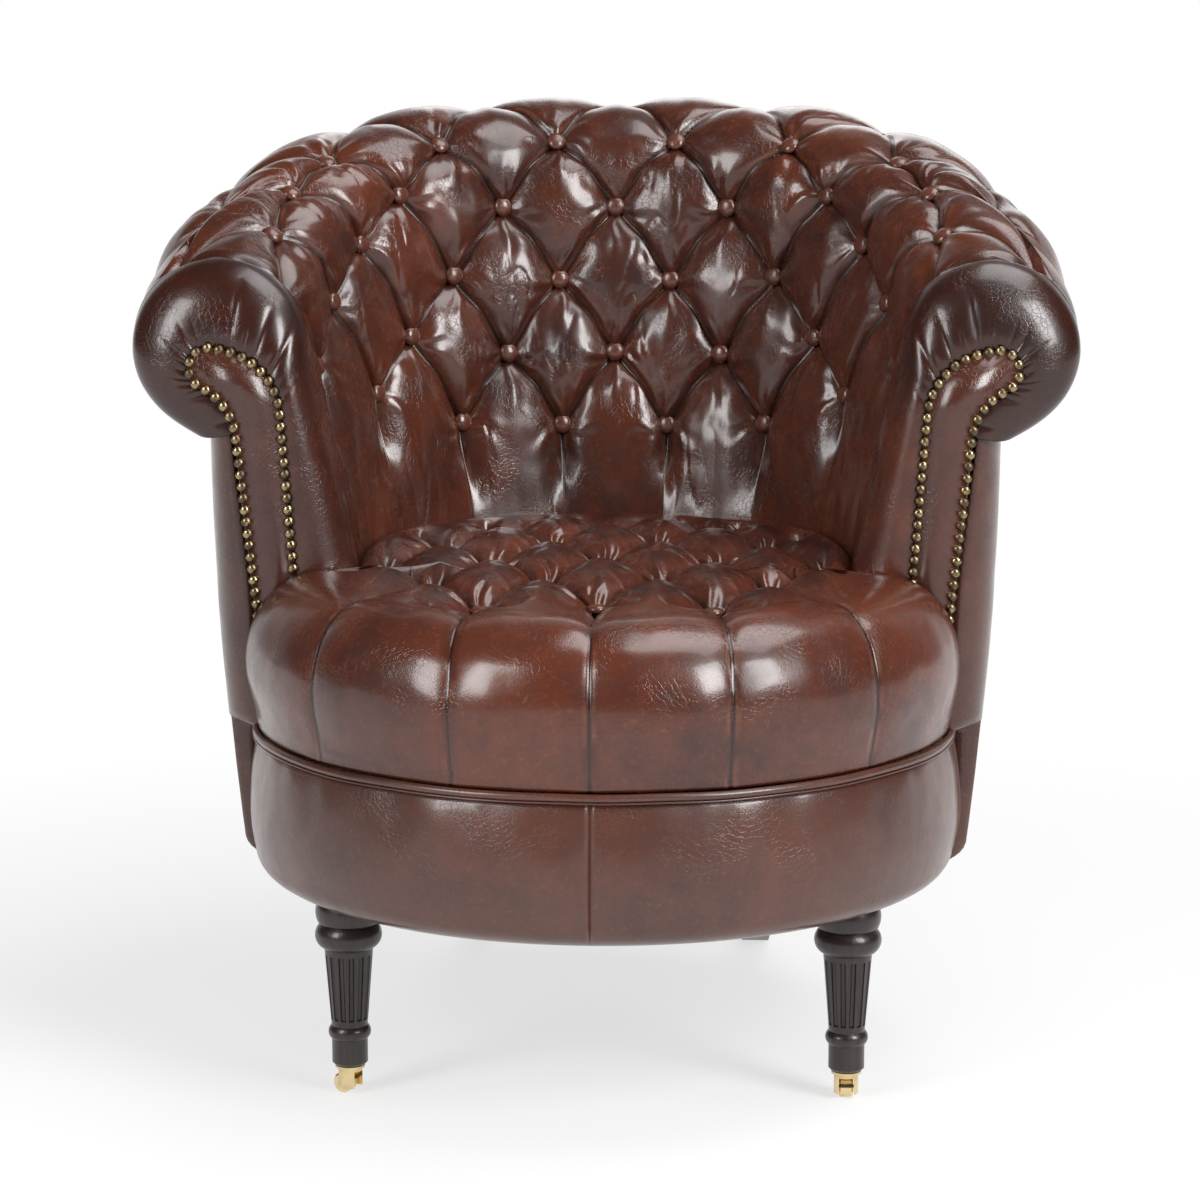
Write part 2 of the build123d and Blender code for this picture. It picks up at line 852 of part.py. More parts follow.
def nail_line():
    """The line of nails up, over and down the facing of the right arm."""
    station = Station(quarter, arm_front)
    centre = station.at(station.roll_reach(), station.roll_height())
    head = [centre + Vector(x, 0, z) * roll_radius for x, z in facing_head_shares]
    inner = Vector(facing_inner_foot, -arm_front, facing_foot)
    outer = Vector(facing_outer_foot, -arm_front, facing_foot)
    return [
        Line(inner, head[0]),
        ThreePointArc(head[0], head[1], head[2]),
        ThreePointArc(head[2], head[3], head[4]),
        ThreePointArc(head[4], head[5], head[6]),
        Line(head[6], outer),
    ]


def make_facing(side):
    """The flat scrolled panel on the arm's front, a nail's radius past the line of nails."""
    line = nail_line()
    face = face_of(line + [Line(line[-1] @ 1, line[0] @ 0)])
    outline = offset(face, nail_radius + nail_margin)
    return on_side(extrude(outline, facing_thickness, dir=(0, -1, 0)), side)


def make_nails(side):
    """Domed nails along the edge of the facing."""
    path = Wire(nail_line())
    count = round(path.length / nail_pitch)
    front = Vector(0, -facing_thickness, 0)
    nails = []
    for index in range(count + 1):
        place = path @ (index / count)
        if place.Z > nail_lowest:
            plane = Plane(origin=place + front, x_dir=(1, 0, 0), z_dir=(0, -1, 0))
            rim = plane * RegularPolygon(nail_radius, nail_facets)
            nails.append(on_side(extrude(rim, nail_height, taper=nail_taper), side))
    return nails


def front_leg_outline():
    """Half section of the turned front leg, from its spigot down to the castor."""
    spigot_top = rail_bottom + spigot_length
    ring_foot = drum_bottom - ring_height
    bulb_top = ring_foot - neck_height
    bulb_foot = bulb_top - bulb_height
    low_ring_top = taper_foot - step_height
    low_ring_foot = low_ring_top - low_ring_height
    ring_side = ring_radius - ring_swell
    points = {
        "axis": (0, spigot_top),
        "spigot": (spigot_radius, spigot_top),
        "spigot_foot": (spigot_radius, rail_bottom),
        "collar": (collar_radius, rail_bottom),
        "collar_foot": (collar_radius, drum_bottom),
        "ring_top": (ring_side, drum_bottom),
        "ring_foot": (ring_side, ring_foot),
        "bulb_top": (neck_radius, bulb_top),
        "bulb_foot": (bulb_foot_radius, bulb_foot),
        "flute_top": (flute_top_radius, bulb_foot - step_height),
        "flute_foot": (flute_foot_radius, taper_foot),
        "low_ring_top": (flute_foot_radius, low_ring_top),
        "low_ring_foot": (shank_radius, low_ring_foot),
        "shank_foot": (shank_radius, leg_end + shank_chamfer),
        "end": (shank_radius - shank_chamfer, leg_end),
        "axis_end": (0, leg_end),
    }
    swells = {
        "ring_top": (ring_radius, (drum_bottom + ring_foot) / 2),
        "bulb_top": (bulb_radius, bulb_top - bulb_height / 3),
        "low_ring_top": (low_ring_radius, (low_ring_top + low_ring_foot) / 2),
    }
    names = list(points)
    edges = []
    for name, following in zip(names, names[1:] + names[:1]):
        start = Vector(points[name][0], 0, points[name][1])
        end = Vector(points[following][0], 0, points[following][1])
        if name in swells:
            edges.append(ThreePointArc(start, Vector(swells[name][0], 0, swells[name][1]), end))
        else:
            edges.append(Line(start, end))
    return edges


def make_front_leg(side):
    """A turned and fluted front leg with a spigot into the seat rail."""
    leg = turned(front_leg_outline())
    bulb_foot = drum_bottom - ring_height - neck_height - bulb_height
    top = Vector(flute_top_radius, 0, bulb_foot - step_height)
    foot = Vector(flute_foot_radius, 0, taper_foot)
    along = (foot - top).normalized()
    length = (foot - top).length - 2 * flute_inset
    start = Plane(origin=top + along * flute_inset, z_dir=along)
    flute = extrude(start * Circle(flute_radius), length)
    for index in range(flute_count):
        leg = leg - flute.rotate(Axis.Z, 2 * half * index / flute_count)
    bore = Cylinder(stem_radius + seat_gap, stem_length + seat_gap, align=upright)
    leg = leg - Pos(0, 0, leg_end) * bore
    return Pos(side * leg_offset, -leg_setback, 0) * leg


def make_rear_leg(side):
    """A square sabre leg, swept back and tapered to the floor."""
    sections = []
    last = len(rear_leg_curve_shares) - 1
    for index, curve_share in enumerate(rear_leg_curve_shares):
        share = index / last
        wide = (rear_leg_top + (rear_leg_foot - rear_leg_top) * share) / 2
        x = rear_leg_offset + (rear_foot_offset - rear_leg_offset) * share
        y = rear_leg_setback + (rear_foot_setback - rear_leg_setback) * curve_share
        z = rail_bottom * (1 - share)
        corners = ((-wide, -wide), (wide, -wide), (wide, wide), (-wide, wide))
        sections.append(Wire.make_polygon([(x + dx, y + dy, z) for dx, dy in corners]))
    spigot = Cylinder(spigot_radius, spigot_length, align=upright)
    leg = Solid.make_loft(sections) + Pos(rear_leg_offset, rear_leg_setback, rail_bottom) * spigot
    return on_side(leg, side)


def make_castor_plate():
    """The plate, the stem up into the leg and the pivot with its riveted head."""
    plate_foot = leg_end - plate_thickness
    head_top = plate_foot - hood_gap - hood_wall - pivot_gap
    plate = Pos(0, 0, plate_foot) * Cylinder(plate_radius, plate_thickness, align=upright)
    stem = Pos(0, 0, leg_end) * Cylinder(stem_radius, stem_length, align=upright)
    pivot = Cylinder(pivot_radius, plate_foot - head_top, align=upright)
    head = Cylinder(pivot_head_radius, pivot_head, align=upright)
    return plate + stem + Pos(0, 0, head_top) * pivot + Pos(0, 0, head_top - pivot_head) * head


def make_castor_hood():
    """The round hood that swivels on the pivot and carries the axle between its cheeks."""
    hood_top = leg_end - plate_thickness - hood_gap
    height = hood_top - hood_bottom
    hood = Pos(0, 0, hood_bottom) * Cylinder(hood_radius, height, align=upright)
    slot = Box(wheel_width + 2 * slot_gap, 4 * hood_radius, 2 * (height - hood_wall))
    bore = Cylinder(pivot_radius + pivot_gap, 2 * height)
    axle_hole = Rot(0, quarter, 0) * Cylinder(axle_radius + pivot_gap, 4 * hood_radius)
    hood = hood - Pos(0, 0, hood_bottom) * slot - Pos(0, 0, hood_top) * bore
    return hood - Pos(0, castor_trail, wheel_radius) * axle_hole


def make_castor_axle():
    axle = Rot(0, quarter, 0) * Cylinder(axle_radius, 2 * axle_half_length)
    return Pos(0, castor_trail, wheel_radius) * axle


def make_castor_wheel():
    """A solid brass wheel with eased rims, bored for its axle."""
    wheel = Cylinder(wheel_radius, wheel_width)
    wheel = chamfer(wheel.edges().filter_by(GeomType.CIRCLE), wheel_edge)
    wheel = wheel - Cylinder(axle_radius + wheel_bore_gap, 2 * wheel_width)
    return Pos(0, castor_trail, wheel_radius) * Rot(0, quarter, 0) * wheel


pieces = {
    "front_rail": make_front_rail(),
    "rear_rail": make_rear_rail(),
    "corner_blocks": make_corner_blocks(),
    "webbing": make_webbing(),
    "dust_cover": make_dust_cover(),
    "seat_core": core_solid(0.0),
    "seat_cover": make_seat_cover(),
    "seat_buttons": make_seat_buttons(),
    "seat_welt": make_seat_welt(),
    "back_posts": [make_post(column) for column in post_columns],
    "top_rail": make_top_rail(),
    "roll_core": make_roll_core(),
    "tub_lining": ruled_loft(lining_section, tub_stations(board_back - seat_gap)),
    "inside_back": make_inside_back(),
    "outside_back": make_outside_back(),
    "tub_buttons": make_tub_buttons(),
}

for name, side, castor_turn in (
    ("left", -1, left_castor_turn),
    ("right", 1, right_castor_turn),
):
    castor_place = Pos(side * leg_offset, -leg_setback, 0) * Rot(0, 0, castor_turn)
    pieces[f"front_band_{name}"] = make_front_band(side)
    pieces[f"inside_arm_{name}"] = make_inside_arm(side)
    pieces[f"outside_arm_{name}"] = make_outside_arm(side)
    pieces[f"arm_welt_{name}"] = make_arm_welt(side)
    pieces[f"arm_board_{name}"] = make_arm_board(side)
    pieces[f"arm_border_{name}"] = make_arm_border(side)
    pieces[f"facing_{name}"] = make_facing(side)
    pieces[f"facing_nails_{name}"] = make_nails(side)
    pieces[f"front_leg_{name}"] = make_front_leg(side)
    pieces[f"rear_leg_{name}"] = make_rear_leg(side)
    pieces[f"castor_plate_{name}"] = castor_place * make_castor_plate()
    pieces[f"castor_hood_{name}"] = castor_place * make_castor_hood()
    pieces[f"castor_axle_{name}"] = castor_place * make_castor_axle()
    pieces[f"castor_wheel_{name}"] = castor_place * make_castor_wheel()

for node, shape in pieces.items():
    solids = shape if isinstance(shape, list) else [shape]
    placed = [Pos(0, -depth_middle, 0) * solid for solid in solids]
    whole = placed[0] if len(placed) == 1 else Compound(children=placed)
    export_step(whole, f"parts/{node}.step")
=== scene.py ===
"""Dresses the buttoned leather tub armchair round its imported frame."""

import json
import logging
import math
from collections.abc import Callable
from dataclasses import dataclass, field
from enum import Enum

import bmesh
import bpy
import numpy as np
from mathutils import Matrix, Vector, noise


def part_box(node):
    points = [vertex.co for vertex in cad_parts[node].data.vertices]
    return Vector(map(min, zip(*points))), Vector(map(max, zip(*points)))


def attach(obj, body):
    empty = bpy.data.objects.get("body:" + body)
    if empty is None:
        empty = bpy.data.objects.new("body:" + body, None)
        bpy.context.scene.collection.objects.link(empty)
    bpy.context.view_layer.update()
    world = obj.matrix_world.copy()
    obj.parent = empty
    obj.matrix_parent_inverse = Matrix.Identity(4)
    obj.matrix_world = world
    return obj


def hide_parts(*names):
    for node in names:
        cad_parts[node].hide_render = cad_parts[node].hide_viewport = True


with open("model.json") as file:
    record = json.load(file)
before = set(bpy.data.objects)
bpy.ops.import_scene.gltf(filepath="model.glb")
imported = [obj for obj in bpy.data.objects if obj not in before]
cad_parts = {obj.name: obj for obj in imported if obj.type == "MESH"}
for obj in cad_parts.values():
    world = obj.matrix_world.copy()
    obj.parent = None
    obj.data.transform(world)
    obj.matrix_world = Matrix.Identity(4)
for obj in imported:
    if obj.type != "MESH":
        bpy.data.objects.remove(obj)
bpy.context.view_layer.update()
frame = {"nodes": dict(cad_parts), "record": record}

LOG = logging.getLogger("armchair")
MM = 0.001
SET_BACK = 50.0
ROOT = "chair"
WELD = 0.00002
FLAT = 0.00001
Colour = tuple[float, float, float, float]
Array = np.ndarray


class Side(Enum):
    """The chair's two sides, as its sitter's front view shows them."""

    LEFT = -1
    RIGHT = 1

    @property
    def word(self) -> str:
        """The side's name in lower case."""
        return self.name.lower()


class Pleats(Enum):
    """How a hide knows where its pleats lie."""

    NONE = "none"
    NEAR = "near"
    CROSSED = "crossed"


class Grain(Enum):
    """How the surface of a hide is broken up."""

    FINE = 900.0
    OPEN = 620.0


def smooth(value: Array, low: float, high: float) -> Array:
    """An eased step from 0 at low to 1 at high.

    Args:
        value: Where the step is read.
        low: Start of the step.
        high: End of the step.

    Returns:
        The eased share at each value.
    """
    share = np.clip((value - low) / (high - low), 0.0, 1.0)
    return share * share * (3 - 2 * share)


def rough(points: Array, size: float, seed: float) -> Array:
    """Smooth unevenness over points, from -1 to 1.

    Args:
        points: Points in millimetres, one a row.
        size: Width of one swell in millimetres.
        seed: Shifts the pattern.

    Returns:
        One value a point.
    """
    shift = Vector((seed, seed * 1.7, -seed))
    return np.array([noise.noise(Vector(point) / size + shift) for point in points])


def to_frame(points: Array) -> Array:
    """Millimetres about the seat's middle, turned to metres in the row frame."""
    moved = np.array(points, float)
    moved[..., 1] -= SET_BACK
    return moved * MM


def new_piece(
    name: str,
    mesh: bmesh.types.BMesh,
    finish: bpy.types.Material,
    body: str = ROOT,
    replaced: tuple[str, ...] = (),
) -> bpy.types.Object:
    """Turns a finished bmesh into a piece that rides on a body.

    Args:
        name: The piece's name.
        mesh: Its shape in metres, in the row frame.
        finish: Its material.
        body: The body that it rides on.
        replaced: The frame nodes that it stands for.

    Returns:
        The new object.
    """
    data = bpy.data.meshes.new(name)
    mesh.to_mesh(data)
    mesh.free()
    data.materials.append(finish)
    data.polygons.foreach_set("use_smooth", [True] * len(data.polygons))
    piece = bpy.data.objects.new(name, data)
    bpy.context.scene.collection.objects.link(piece)
    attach(piece, body)
    if replaced:
        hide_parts(*replaced)
    LOG.info("%s: %d faces", name, len(data.polygons))
    return piece


def mapped_grid(columns: int, rows: int, place: Callable[[Array, Array], Array]) -> bmesh.types.BMesh:
    """A grid whose vertices are moved to where a function puts their step.

    Args:
        columns: Faces across.
        rows: Faces up.
        place: Gives points in millimetres from the steps across and up.

    Returns:
        The grid in metres, in the row frame.
    """
    mesh = bmesh.new()
    bmesh.ops.create_grid(mesh, x_segments=columns, y_segments=rows, size=1.0)
    flat = np.array([vertex.co[:2] for vertex in mesh.verts])
    across = np.rint((flat[:, 0] + 1) / 2 * columns)
    up = np.rint((flat[:, 1] + 1) / 2 * rows)
    for vertex, point in zip(mesh.verts, to_frame(place(across, up))):
        vertex.co = point
    return mesh


def close_up(mesh: bmesh.types.BMesh) -> None:
    """Welds doubles, fills what is open and turns the faces outward.

    Args:
        mesh: The mesh to close.
    """
    bmesh.ops.remove_doubles(mesh, verts=mesh.verts, dist=WELD)
    bmesh.ops.dissolve_degenerate(mesh, dist=FLAT, edges=mesh.edges)
    open_edges = [edge for edge in mesh.edges if edge.is_boundary]
    if open_edges:
        bmesh.ops.holes_fill(mesh, edges=open_edges, sides=0)
    bmesh.ops.recalc_face_normals(mesh, faces=mesh.faces)


class Nodes:
    """A short hand for a node tree."""

    def __init__(self, tree: bpy.types.NodeTree) -> None:
        """Keeps the tree that nodes are added to."""
        self.tree = tree

    def add(self, kind: str, **values: object) -> bpy.types.Node:
        """Adds a node.

        Args:
            kind: The node's type name without its ShaderNode start.
            values: Properties of the node, or inputs by name with _ for blanks.

        Returns:
            The node.
        """
        start = "" if kind.startswith("NodeGroup") else "ShaderNode"
        node = self.tree.nodes.new(start + kind)
        for name, value in values.items():
            if hasattr(node, name):
                setattr(node, name, value)
                continue
            self.feed(value, node.inputs[name.replace("_", " ")])
        return node

    def feed(self, value: object, socket: bpy.types.NodeSocket) -> None:
        """Links another socket to a socket, or sets a plain value on it.

        Args:
            value: An output socket, or a number, colour or vector.
            socket: The input that takes it.
        """
        if isinstance(value, bpy.types.NodeSocket):
            self.tree.links.new(value, socket)
        else:
            socket.default_value = value

    def mix(self, factor: object, first: object, second: object, way: str = "MIX") -> bpy.types.NodeSocket:
        """Mixes two colours and gives the result's socket.

        Args:
            factor: Share of the second.
            first: First colour.
            second: Second colour.
            way: The blend type.

        Returns:
            The mixed colour's socket.
        """
        node = self.tree.nodes.new("ShaderNodeMix")
        node.data_type = "RGBA"
        node.blend_type = way
        for index, value in ((0, factor), (6, first), (7, second)):
            self.feed(value, node.inputs[index])
        return node.outputs[2]

    def math(self, way: str, first: object, second: object = 0.0) -> bpy.types.NodeSocket:
        """Joins two values by a sum, product or other way.

        Args:
            way: The operation.
            first: First value.
            second: Second value.

        Returns:
            The result's socket.
        """
        node = self.tree.nodes.new("ShaderNodeMath")
        node.operation = way
        for index, value in enumerate((first, second)):
            self.feed(value, node.inputs[index])
        return node.outputs[0]

    def span(
        self, value: object, low: float, high: float, first: float, last: float
    ) -> bpy.types.NodeSocket:
        """Maps a value from low..high to first..last, held at its ends.

        Args:
            value: The value's socket.
            low: Lowest value read.
            high: Highest value read.
            first: What the lowest gives.
            last: What the highest gives.

        Returns:
            The result's socket.
        """
        node = self.tree.nodes.new("ShaderNodeMapRange")
        self.feed(value, node.inputs["Value"])
        for name, number in zip(("From Min", "From Max", "To Min", "To Max"), (low, high, first, last)):
            node.inputs[name].default_value = number
        return node.outputs[0]

    def bump(self, shader: bpy.types.Node, height: object, strength: float, distance: float) -> None:
        """Raises a shader's surface by a height.

        Args:
            shader: The Principled shader.
            height: The height's socket.
            strength: Share of the height that shows.
            distance: Height of 1, in metres.
        """
        bump = self.add("Bump", Strength=strength, Distance=distance, Height=height)
        self.feed(bump.outputs[0], shader.inputs["Normal"])


def group_tree(
    name: str, inputs: dict[str, str], outputs: dict[str, str]
) -> tuple[Nodes, bpy.types.Node, bpy.types.Node]:
    """Starts a shared node group.

    Args:
        name: The group's name.
        inputs: Socket kinds by input name: Float, Color or Vector.
        outputs: Socket kinds by output name.

    Returns:
        The tree's short hand, its input node and its output node.
    """
    tree = bpy.data.node_groups.new(name, "ShaderNodeTree")
    for way, sockets in (("INPUT", inputs), ("OUTPUT", outputs)):
        for socket, kind in sockets.items():
            tree.interface.new_socket(name=socket, in_out=way, socket_type="NodeSocket" + kind)
    nodes = Nodes(tree)
    return nodes, nodes.add("NodeGroupInput"), nodes.add("NodeGroupOutput")


def make_grain_group() -> bpy.types.NodeTree:
    """Pores and fine creases of a hide, as a height over object coordinates.

    Returns:
        The new node group.
    """
    nodes, start, end = group_tree(
        "hide_grain", {"Vector": "Vector", "Scale": "Float", "Creases": "Float"}, {"Height": "Float"}
    )
    bent = nodes.add("TexNoise", Vector=start.outputs["Vector"], Scale=180.0, Detail=2.0)
    offset = nodes.add("VectorMath", operation="MULTIPLY_ADD")
    nodes.feed(bent.outputs["Color"], offset.inputs[0])
    offset.inputs[1].default_value = (0.004, 0.004, 0.004)
    nodes.feed(start.outputs["Vector"], offset.inputs[2])
    place = offset.outputs[0]
    pores = nodes.add("TexVoronoi", feature="SMOOTH_F1", Vector=place, Scale=start.outputs["Scale"])
    cells = nodes.add("TexVoronoi", feature="DISTANCE_TO_EDGE", Vector=place, Scale=210.0)
    crease = nodes.span(cells.outputs["Distance"], 0.0, 0.09, -1.0, 0.0)
    where = nodes.add("TexNoise", Vector=start.outputs["Vector"], Scale=24.0, Detail=2.0)
    mask = nodes.span(where.outputs[0], 0.45, 0.62, 0.0, 1.0)
    crease = nodes.math("MULTIPLY", crease, nodes.math("MULTIPLY", mask, start.outputs["Creases"]))
    pore = nodes.math("MULTIPLY", pores.outputs["Distance"], 0.35)
    nodes.feed(nodes.math("ADD", pore, crease), end.inputs["Height"])
    return nodes.tree


def make_patina_group() -> bpy.types.NodeTree:
    """Waxed colour of a hide: clouded dark and red, rubbed light on its edges.

    Returns:
        The new node group.
    """
    nodes, start, end = group_tree(
        "waxed_patina",
        {
            "Vector": "Vector", "Base": "Color", "Dark": "Color", "Worn": "Color",
            "Clouds": "Float", "Rubbed": "Float",
        },
        {"Color": "Color", "Wax": "Float"},
    )
    place = start.outputs["Vector"]
    clouds = nodes.add("TexNoise", Vector=place, Scale=6.5, Detail=4.0, Roughness=0.55, Distortion=0.6)
    mottle = nodes.add("TexNoise", Vector=place, Scale=42.0, Detail=5.0, Roughness=0.62, Distortion=0.35)
    fleck = nodes.add("TexNoise", Vector=place, Scale=240.0, Detail=3.0, Roughness=0.6)
    broad = nodes.span(clouds.outputs[0], 0.36, 0.66, 0.0, 1.0)
    fine = nodes.span(mottle.outputs[0], 0.34, 0.68, 0.0, 1.0)
    both = nodes.math("ADD", nodes.math("MULTIPLY", broad, 0.6), nodes.math("MULTIPLY", fine, 0.4))
    share = nodes.math("MULTIPLY", both, start.outputs["Clouds"])
    colour = nodes.mix(share, start.outputs["Base"], start.outputs["Dark"])
    light = nodes.span(fleck.outputs[0], 0.56, 0.78, 0.0, 0.28)
    colour = nodes.mix(light, colour, start.outputs["Worn"])
    patches = nodes.span(mottle.outputs[0], 0.3, 0.62, 0.35, 1.0)
    rub = nodes.math("MULTIPLY", start.outputs["Rubbed"], patches)
    colour = nodes.mix(rub, colour, start.outputs["Worn"])
    nodes.feed(colour, end.inputs["Color"])
    wax = nodes.math("ADD", nodes.math("MULTIPLY", fine, 0.6), nodes.math("MULTIPLY", broad, 0.4))
    nodes.feed(wax, end.inputs["Wax"])
    return nodes.tree


def make_pleat_group() -> bpy.types.NodeTree:
    """Painted shade in a pleat's fold and in the hollow beside it, and its broken worn edge, as masks from
    how near it is.

    Returns:
        The new node group.
    """
    nodes, start, end = group_tree(
        "pleat_marks",
        {"Vector": "Vector", "Near": "Float"},
        {"Fold": "Float", "Edge": "Float", "Shade": "Float"},
    )
    near = start.outputs["Near"]
    # Fold marks the pleat's line, for its groove and its painted shade; Shade is the painted shade of the
    # hollow beside it.
    nodes.feed(nodes.span(near, 0.008, 0.03, 1.0, 0.0), end.inputs["Fold"])
    nodes.feed(nodes.span(near, 0.0, 0.16, 1.0, 0.0), end.inputs["Shade"])
    rise = nodes.span(near, 0.026, 0.05, 0.0, 1.0)
    fall = nodes.span(near, 0.055, 0.12, 1.0, 0.0)
    broken = nodes.add("TexNoise", Vector=start.outputs["Vector"], Scale=38.0, Detail=3.0)
    patches = nodes.span(broken.outputs[0], 0.42, 0.62, 0.0, 1.0)
    edge = nodes.math("MULTIPLY", rise, nodes.math("MULTIPLY", fall, patches))
    nodes.feed(edge, end.inputs["Edge"])
    return nodes.tree


def make_streak_group() -> bpy.types.NodeTree:
    """Long fibres of timber along the upright axis, as a mask.

    Returns:
        The new node group.
    """
    nodes, start, end = group_tree(
        "timber_streaks", {"Vector": "Vector", "Scale": "Float"}, {"Mask": "Float"}
    )
    stretched = nodes.add("Mapping")
    nodes.feed(start.outputs["Vector"], stretched.inputs["Vector"])
    stretched.inputs["Scale"].default_value = (1.0, 1.0, 0.06)
    fibre = nodes.add(
        "TexNoise", Vector=stretched.outputs[0], Scale=start.outputs["Scale"], Detail=6.0, Roughness=0.6
    )
    nodes.feed(nodes.span(fibre.outputs[0], 0.35, 0.68, 0.0, 1.0), end.inputs["Mask"])
    return nodes.tree


def make_weave_group() -> bpy.types.NodeTree:
    """Over and under of a plain weave, as a mask and height.

    Returns:
        The new node group.
    """
    nodes, start, end = group_tree(
        "plain_weave", {"Vector": "Vector", "Scale": "Float"}, {"Height": "Float"}
    )
    waves = []
    for way in ("X", "Y"):
        wave = nodes.add("TexWave", wave_type="BANDS", bands_direction=way, Scale=start.outputs["Scale"])
        nodes.feed(start.outputs["Vector"], wave.inputs["Vector"])
        wave.inputs["Distortion"].default_value = 0.4
        waves.append(wave.outputs["Fac"])
    nodes.feed(nodes.math("MULTIPLY", *waves), end.inputs["Height"])
    return nodes.tree


@dataclass
class Workshop:
    """The shared node groups, built once."""

    grain: bpy.types.NodeTree = field(default_factory=make_grain_group)
    patina: bpy.types.NodeTree = field(default_factory=make_patina_group)
    pleats: bpy.types.NodeTree = field(default_factory=make_pleat_group)
    streaks: bpy.types.NodeTree = field(default_factory=make_streak_group)
    weave: bpy.types.NodeTree = field(default_factory=make_weave_group)

    def start(self, name: str) -> tuple[bpy.types.Material, Nodes, bpy.types.Node]:
        """Starts a material.

        Args:
            name: The material's name.

        Returns:
            The material, its nodes and its Principled shader.
        """
        material = bpy.data.materials.new(name)
        material.use_nodes = True
        nodes = Nodes(material.node_tree)
        return material, nodes, material.node_tree.nodes["Principled BSDF"]

    def place(self, nodes: Nodes, tree: bpy.types.NodeTree, **values: object) -> bpy.types.Node:
        """Places a group in a material, fed by object coordinates.

        Args:
            nodes: The material's nodes.
            tree: The shared group.
            values: Its other inputs by name.

        Returns:
            The group's node.
        """
        node = nodes.tree.nodes.new("ShaderNodeGroup")
        node.node_tree = tree
        where = nodes.add("TexCoord")
        nodes.feed(where.outputs["Object"], node.inputs["Vector"])
        for name, value in values.items():
            nodes.feed(value, node.inputs[name])
        return node


@dataclass(frozen=True)
class Hide:
    """A waxed leather finish."""

    name: str
    base: Colour
    dark: Colour
    worn: Colour
    clouds: float = 1.0
    polish: tuple[float, float] = (0.17, 0.36)
    grain: Grain = Grain.FINE
    creases: float = 0.6
    coat: float = 0.36
    pleats: Pleats = Pleats.NONE
    # Whether the hide reads the painted shade mask that darkens the arm tops and heads, or the seat's puff
    # crowns.
    tinted: bool = False
    shade: Colour = (0.24, 0.18, 0.18, 1.0)
    edge_wear: float = 0.6
    groove: float = 3.0

    def near(self, nodes: Nodes) -> bpy.types.NodeSocket:
        """How near the closest pleat is, from 0 on it.

        Args:
            nodes: The material's nodes.

        Returns:
            The value's socket.
        """
        if self.pleats is Pleats.NEAR:
            return nodes.add("Attribute", attribute_name="near").outputs["Fac"]
        ways = []
        for name in ("weft", "warp", "fan"):
            across = nodes.math("PINGPONG", nodes.add("Attribute", attribute_name=name).outputs["Fac"], 1.0)
            ways.append(across)
        return nodes.math("MINIMUM", nodes.math("MINIMUM", ways[0], ways[1]), ways[2])

    def build(self, shop: Workshop) -> bpy.types.Material:
        """Makes the material.

        Args:
            shop: The shared node groups.

        Returns:
            The material.
        """
        material, nodes, shader = shop.start(self.name)
        pores = shop.place(nodes, shop.grain, Scale=self.grain.value, Creases=self.creases)
        height = pores.outputs["Height"]
        rub: object = 0.0
        if self.pleats is not Pleats.NONE:
            marks = shop.place(nodes, shop.pleats, Near=self.near(nodes))
            rub = nodes.math("MULTIPLY", marks.outputs["Edge"], self.edge_wear)
            groove = nodes.math("MULTIPLY", marks.outputs["Fold"], self.groove)
            height = nodes.math("SUBTRACT", height, groove)
        patina = shop.place(
            nodes, shop.patina,
            Base=self.base, Dark=self.dark, Worn=self.worn, Clouds=self.clouds, Rubbed=rub,
        )
        colour = patina.outputs["Color"]
        # Painted shade: the pleat's fold and the hollow beside it are multiplied darker by the shade colour.
        if self.pleats is not Pleats.NONE:
            sunk = nodes.math("MULTIPLY", marks.outputs["Shade"], 0.55)
            crease_shade = nodes.math("MAXIMUM", sunk, marks.outputs["Fold"])
            colour = nodes.mix(crease_shade, colour, self.shade, "MULTIPLY")
        # Painted shade on the arm tops and heads and on the seat's puff crowns, multiplied darker by the
        # shade colour and a little rougher there.
        if self.tinted:
            deep = nodes.add("Attribute", attribute_name="darkened").outputs["Fac"]
            colour = nodes.mix(deep, colour, self.shade, "MULTIPLY")
        nodes.feed(colour, shader.inputs["Base Color"])
        gloss = nodes.span(patina.outputs["Wax"], 0.0, 1.0, *self.polish)
        if self.tinted:
            gloss = nodes.math("ADD", gloss, nodes.math("MULTIPLY", deep, 0.05))
        nodes.feed(gloss, shader.inputs["Roughness"])
        shader.inputs["Coat Weight"].default_value = self.coat
        shader.inputs["Coat Roughness"].default_value = 0.13
        nodes.bump(shader, height, 0.35, 0.0006)
        return material


@dataclass(frozen=True)
class Timber:
    """A wood finish with long fibres."""

    name: str
    light: Colour
    dark: Colour
    gloss: float = 0.4
    coat: float = 0.0

    def build(self, shop: Workshop) -> bpy.types.Material:
        """Makes the material.

        Args:
            shop: The shared node groups.

        Returns:
            The material.
        """
        material, nodes, shader = shop.start(self.name)
        fibre = shop.place(nodes, shop.streaks, Scale=260.0)
        colour = nodes.mix(fibre.outputs["Mask"], self.light, self.dark)
        nodes.feed(colour, shader.inputs["Base Color"])
        rough_value = nodes.span(fibre.outputs["Mask"], 0.0, 1.0, self.gloss, self.gloss + 0.15)
        nodes.feed(rough_value, shader.inputs["Roughness"])
        shader.inputs["Coat Weight"].default_value = self.coat
        nodes.bump(shader, fibre.outputs["Mask"], 0.25, 0.0004)
        return material


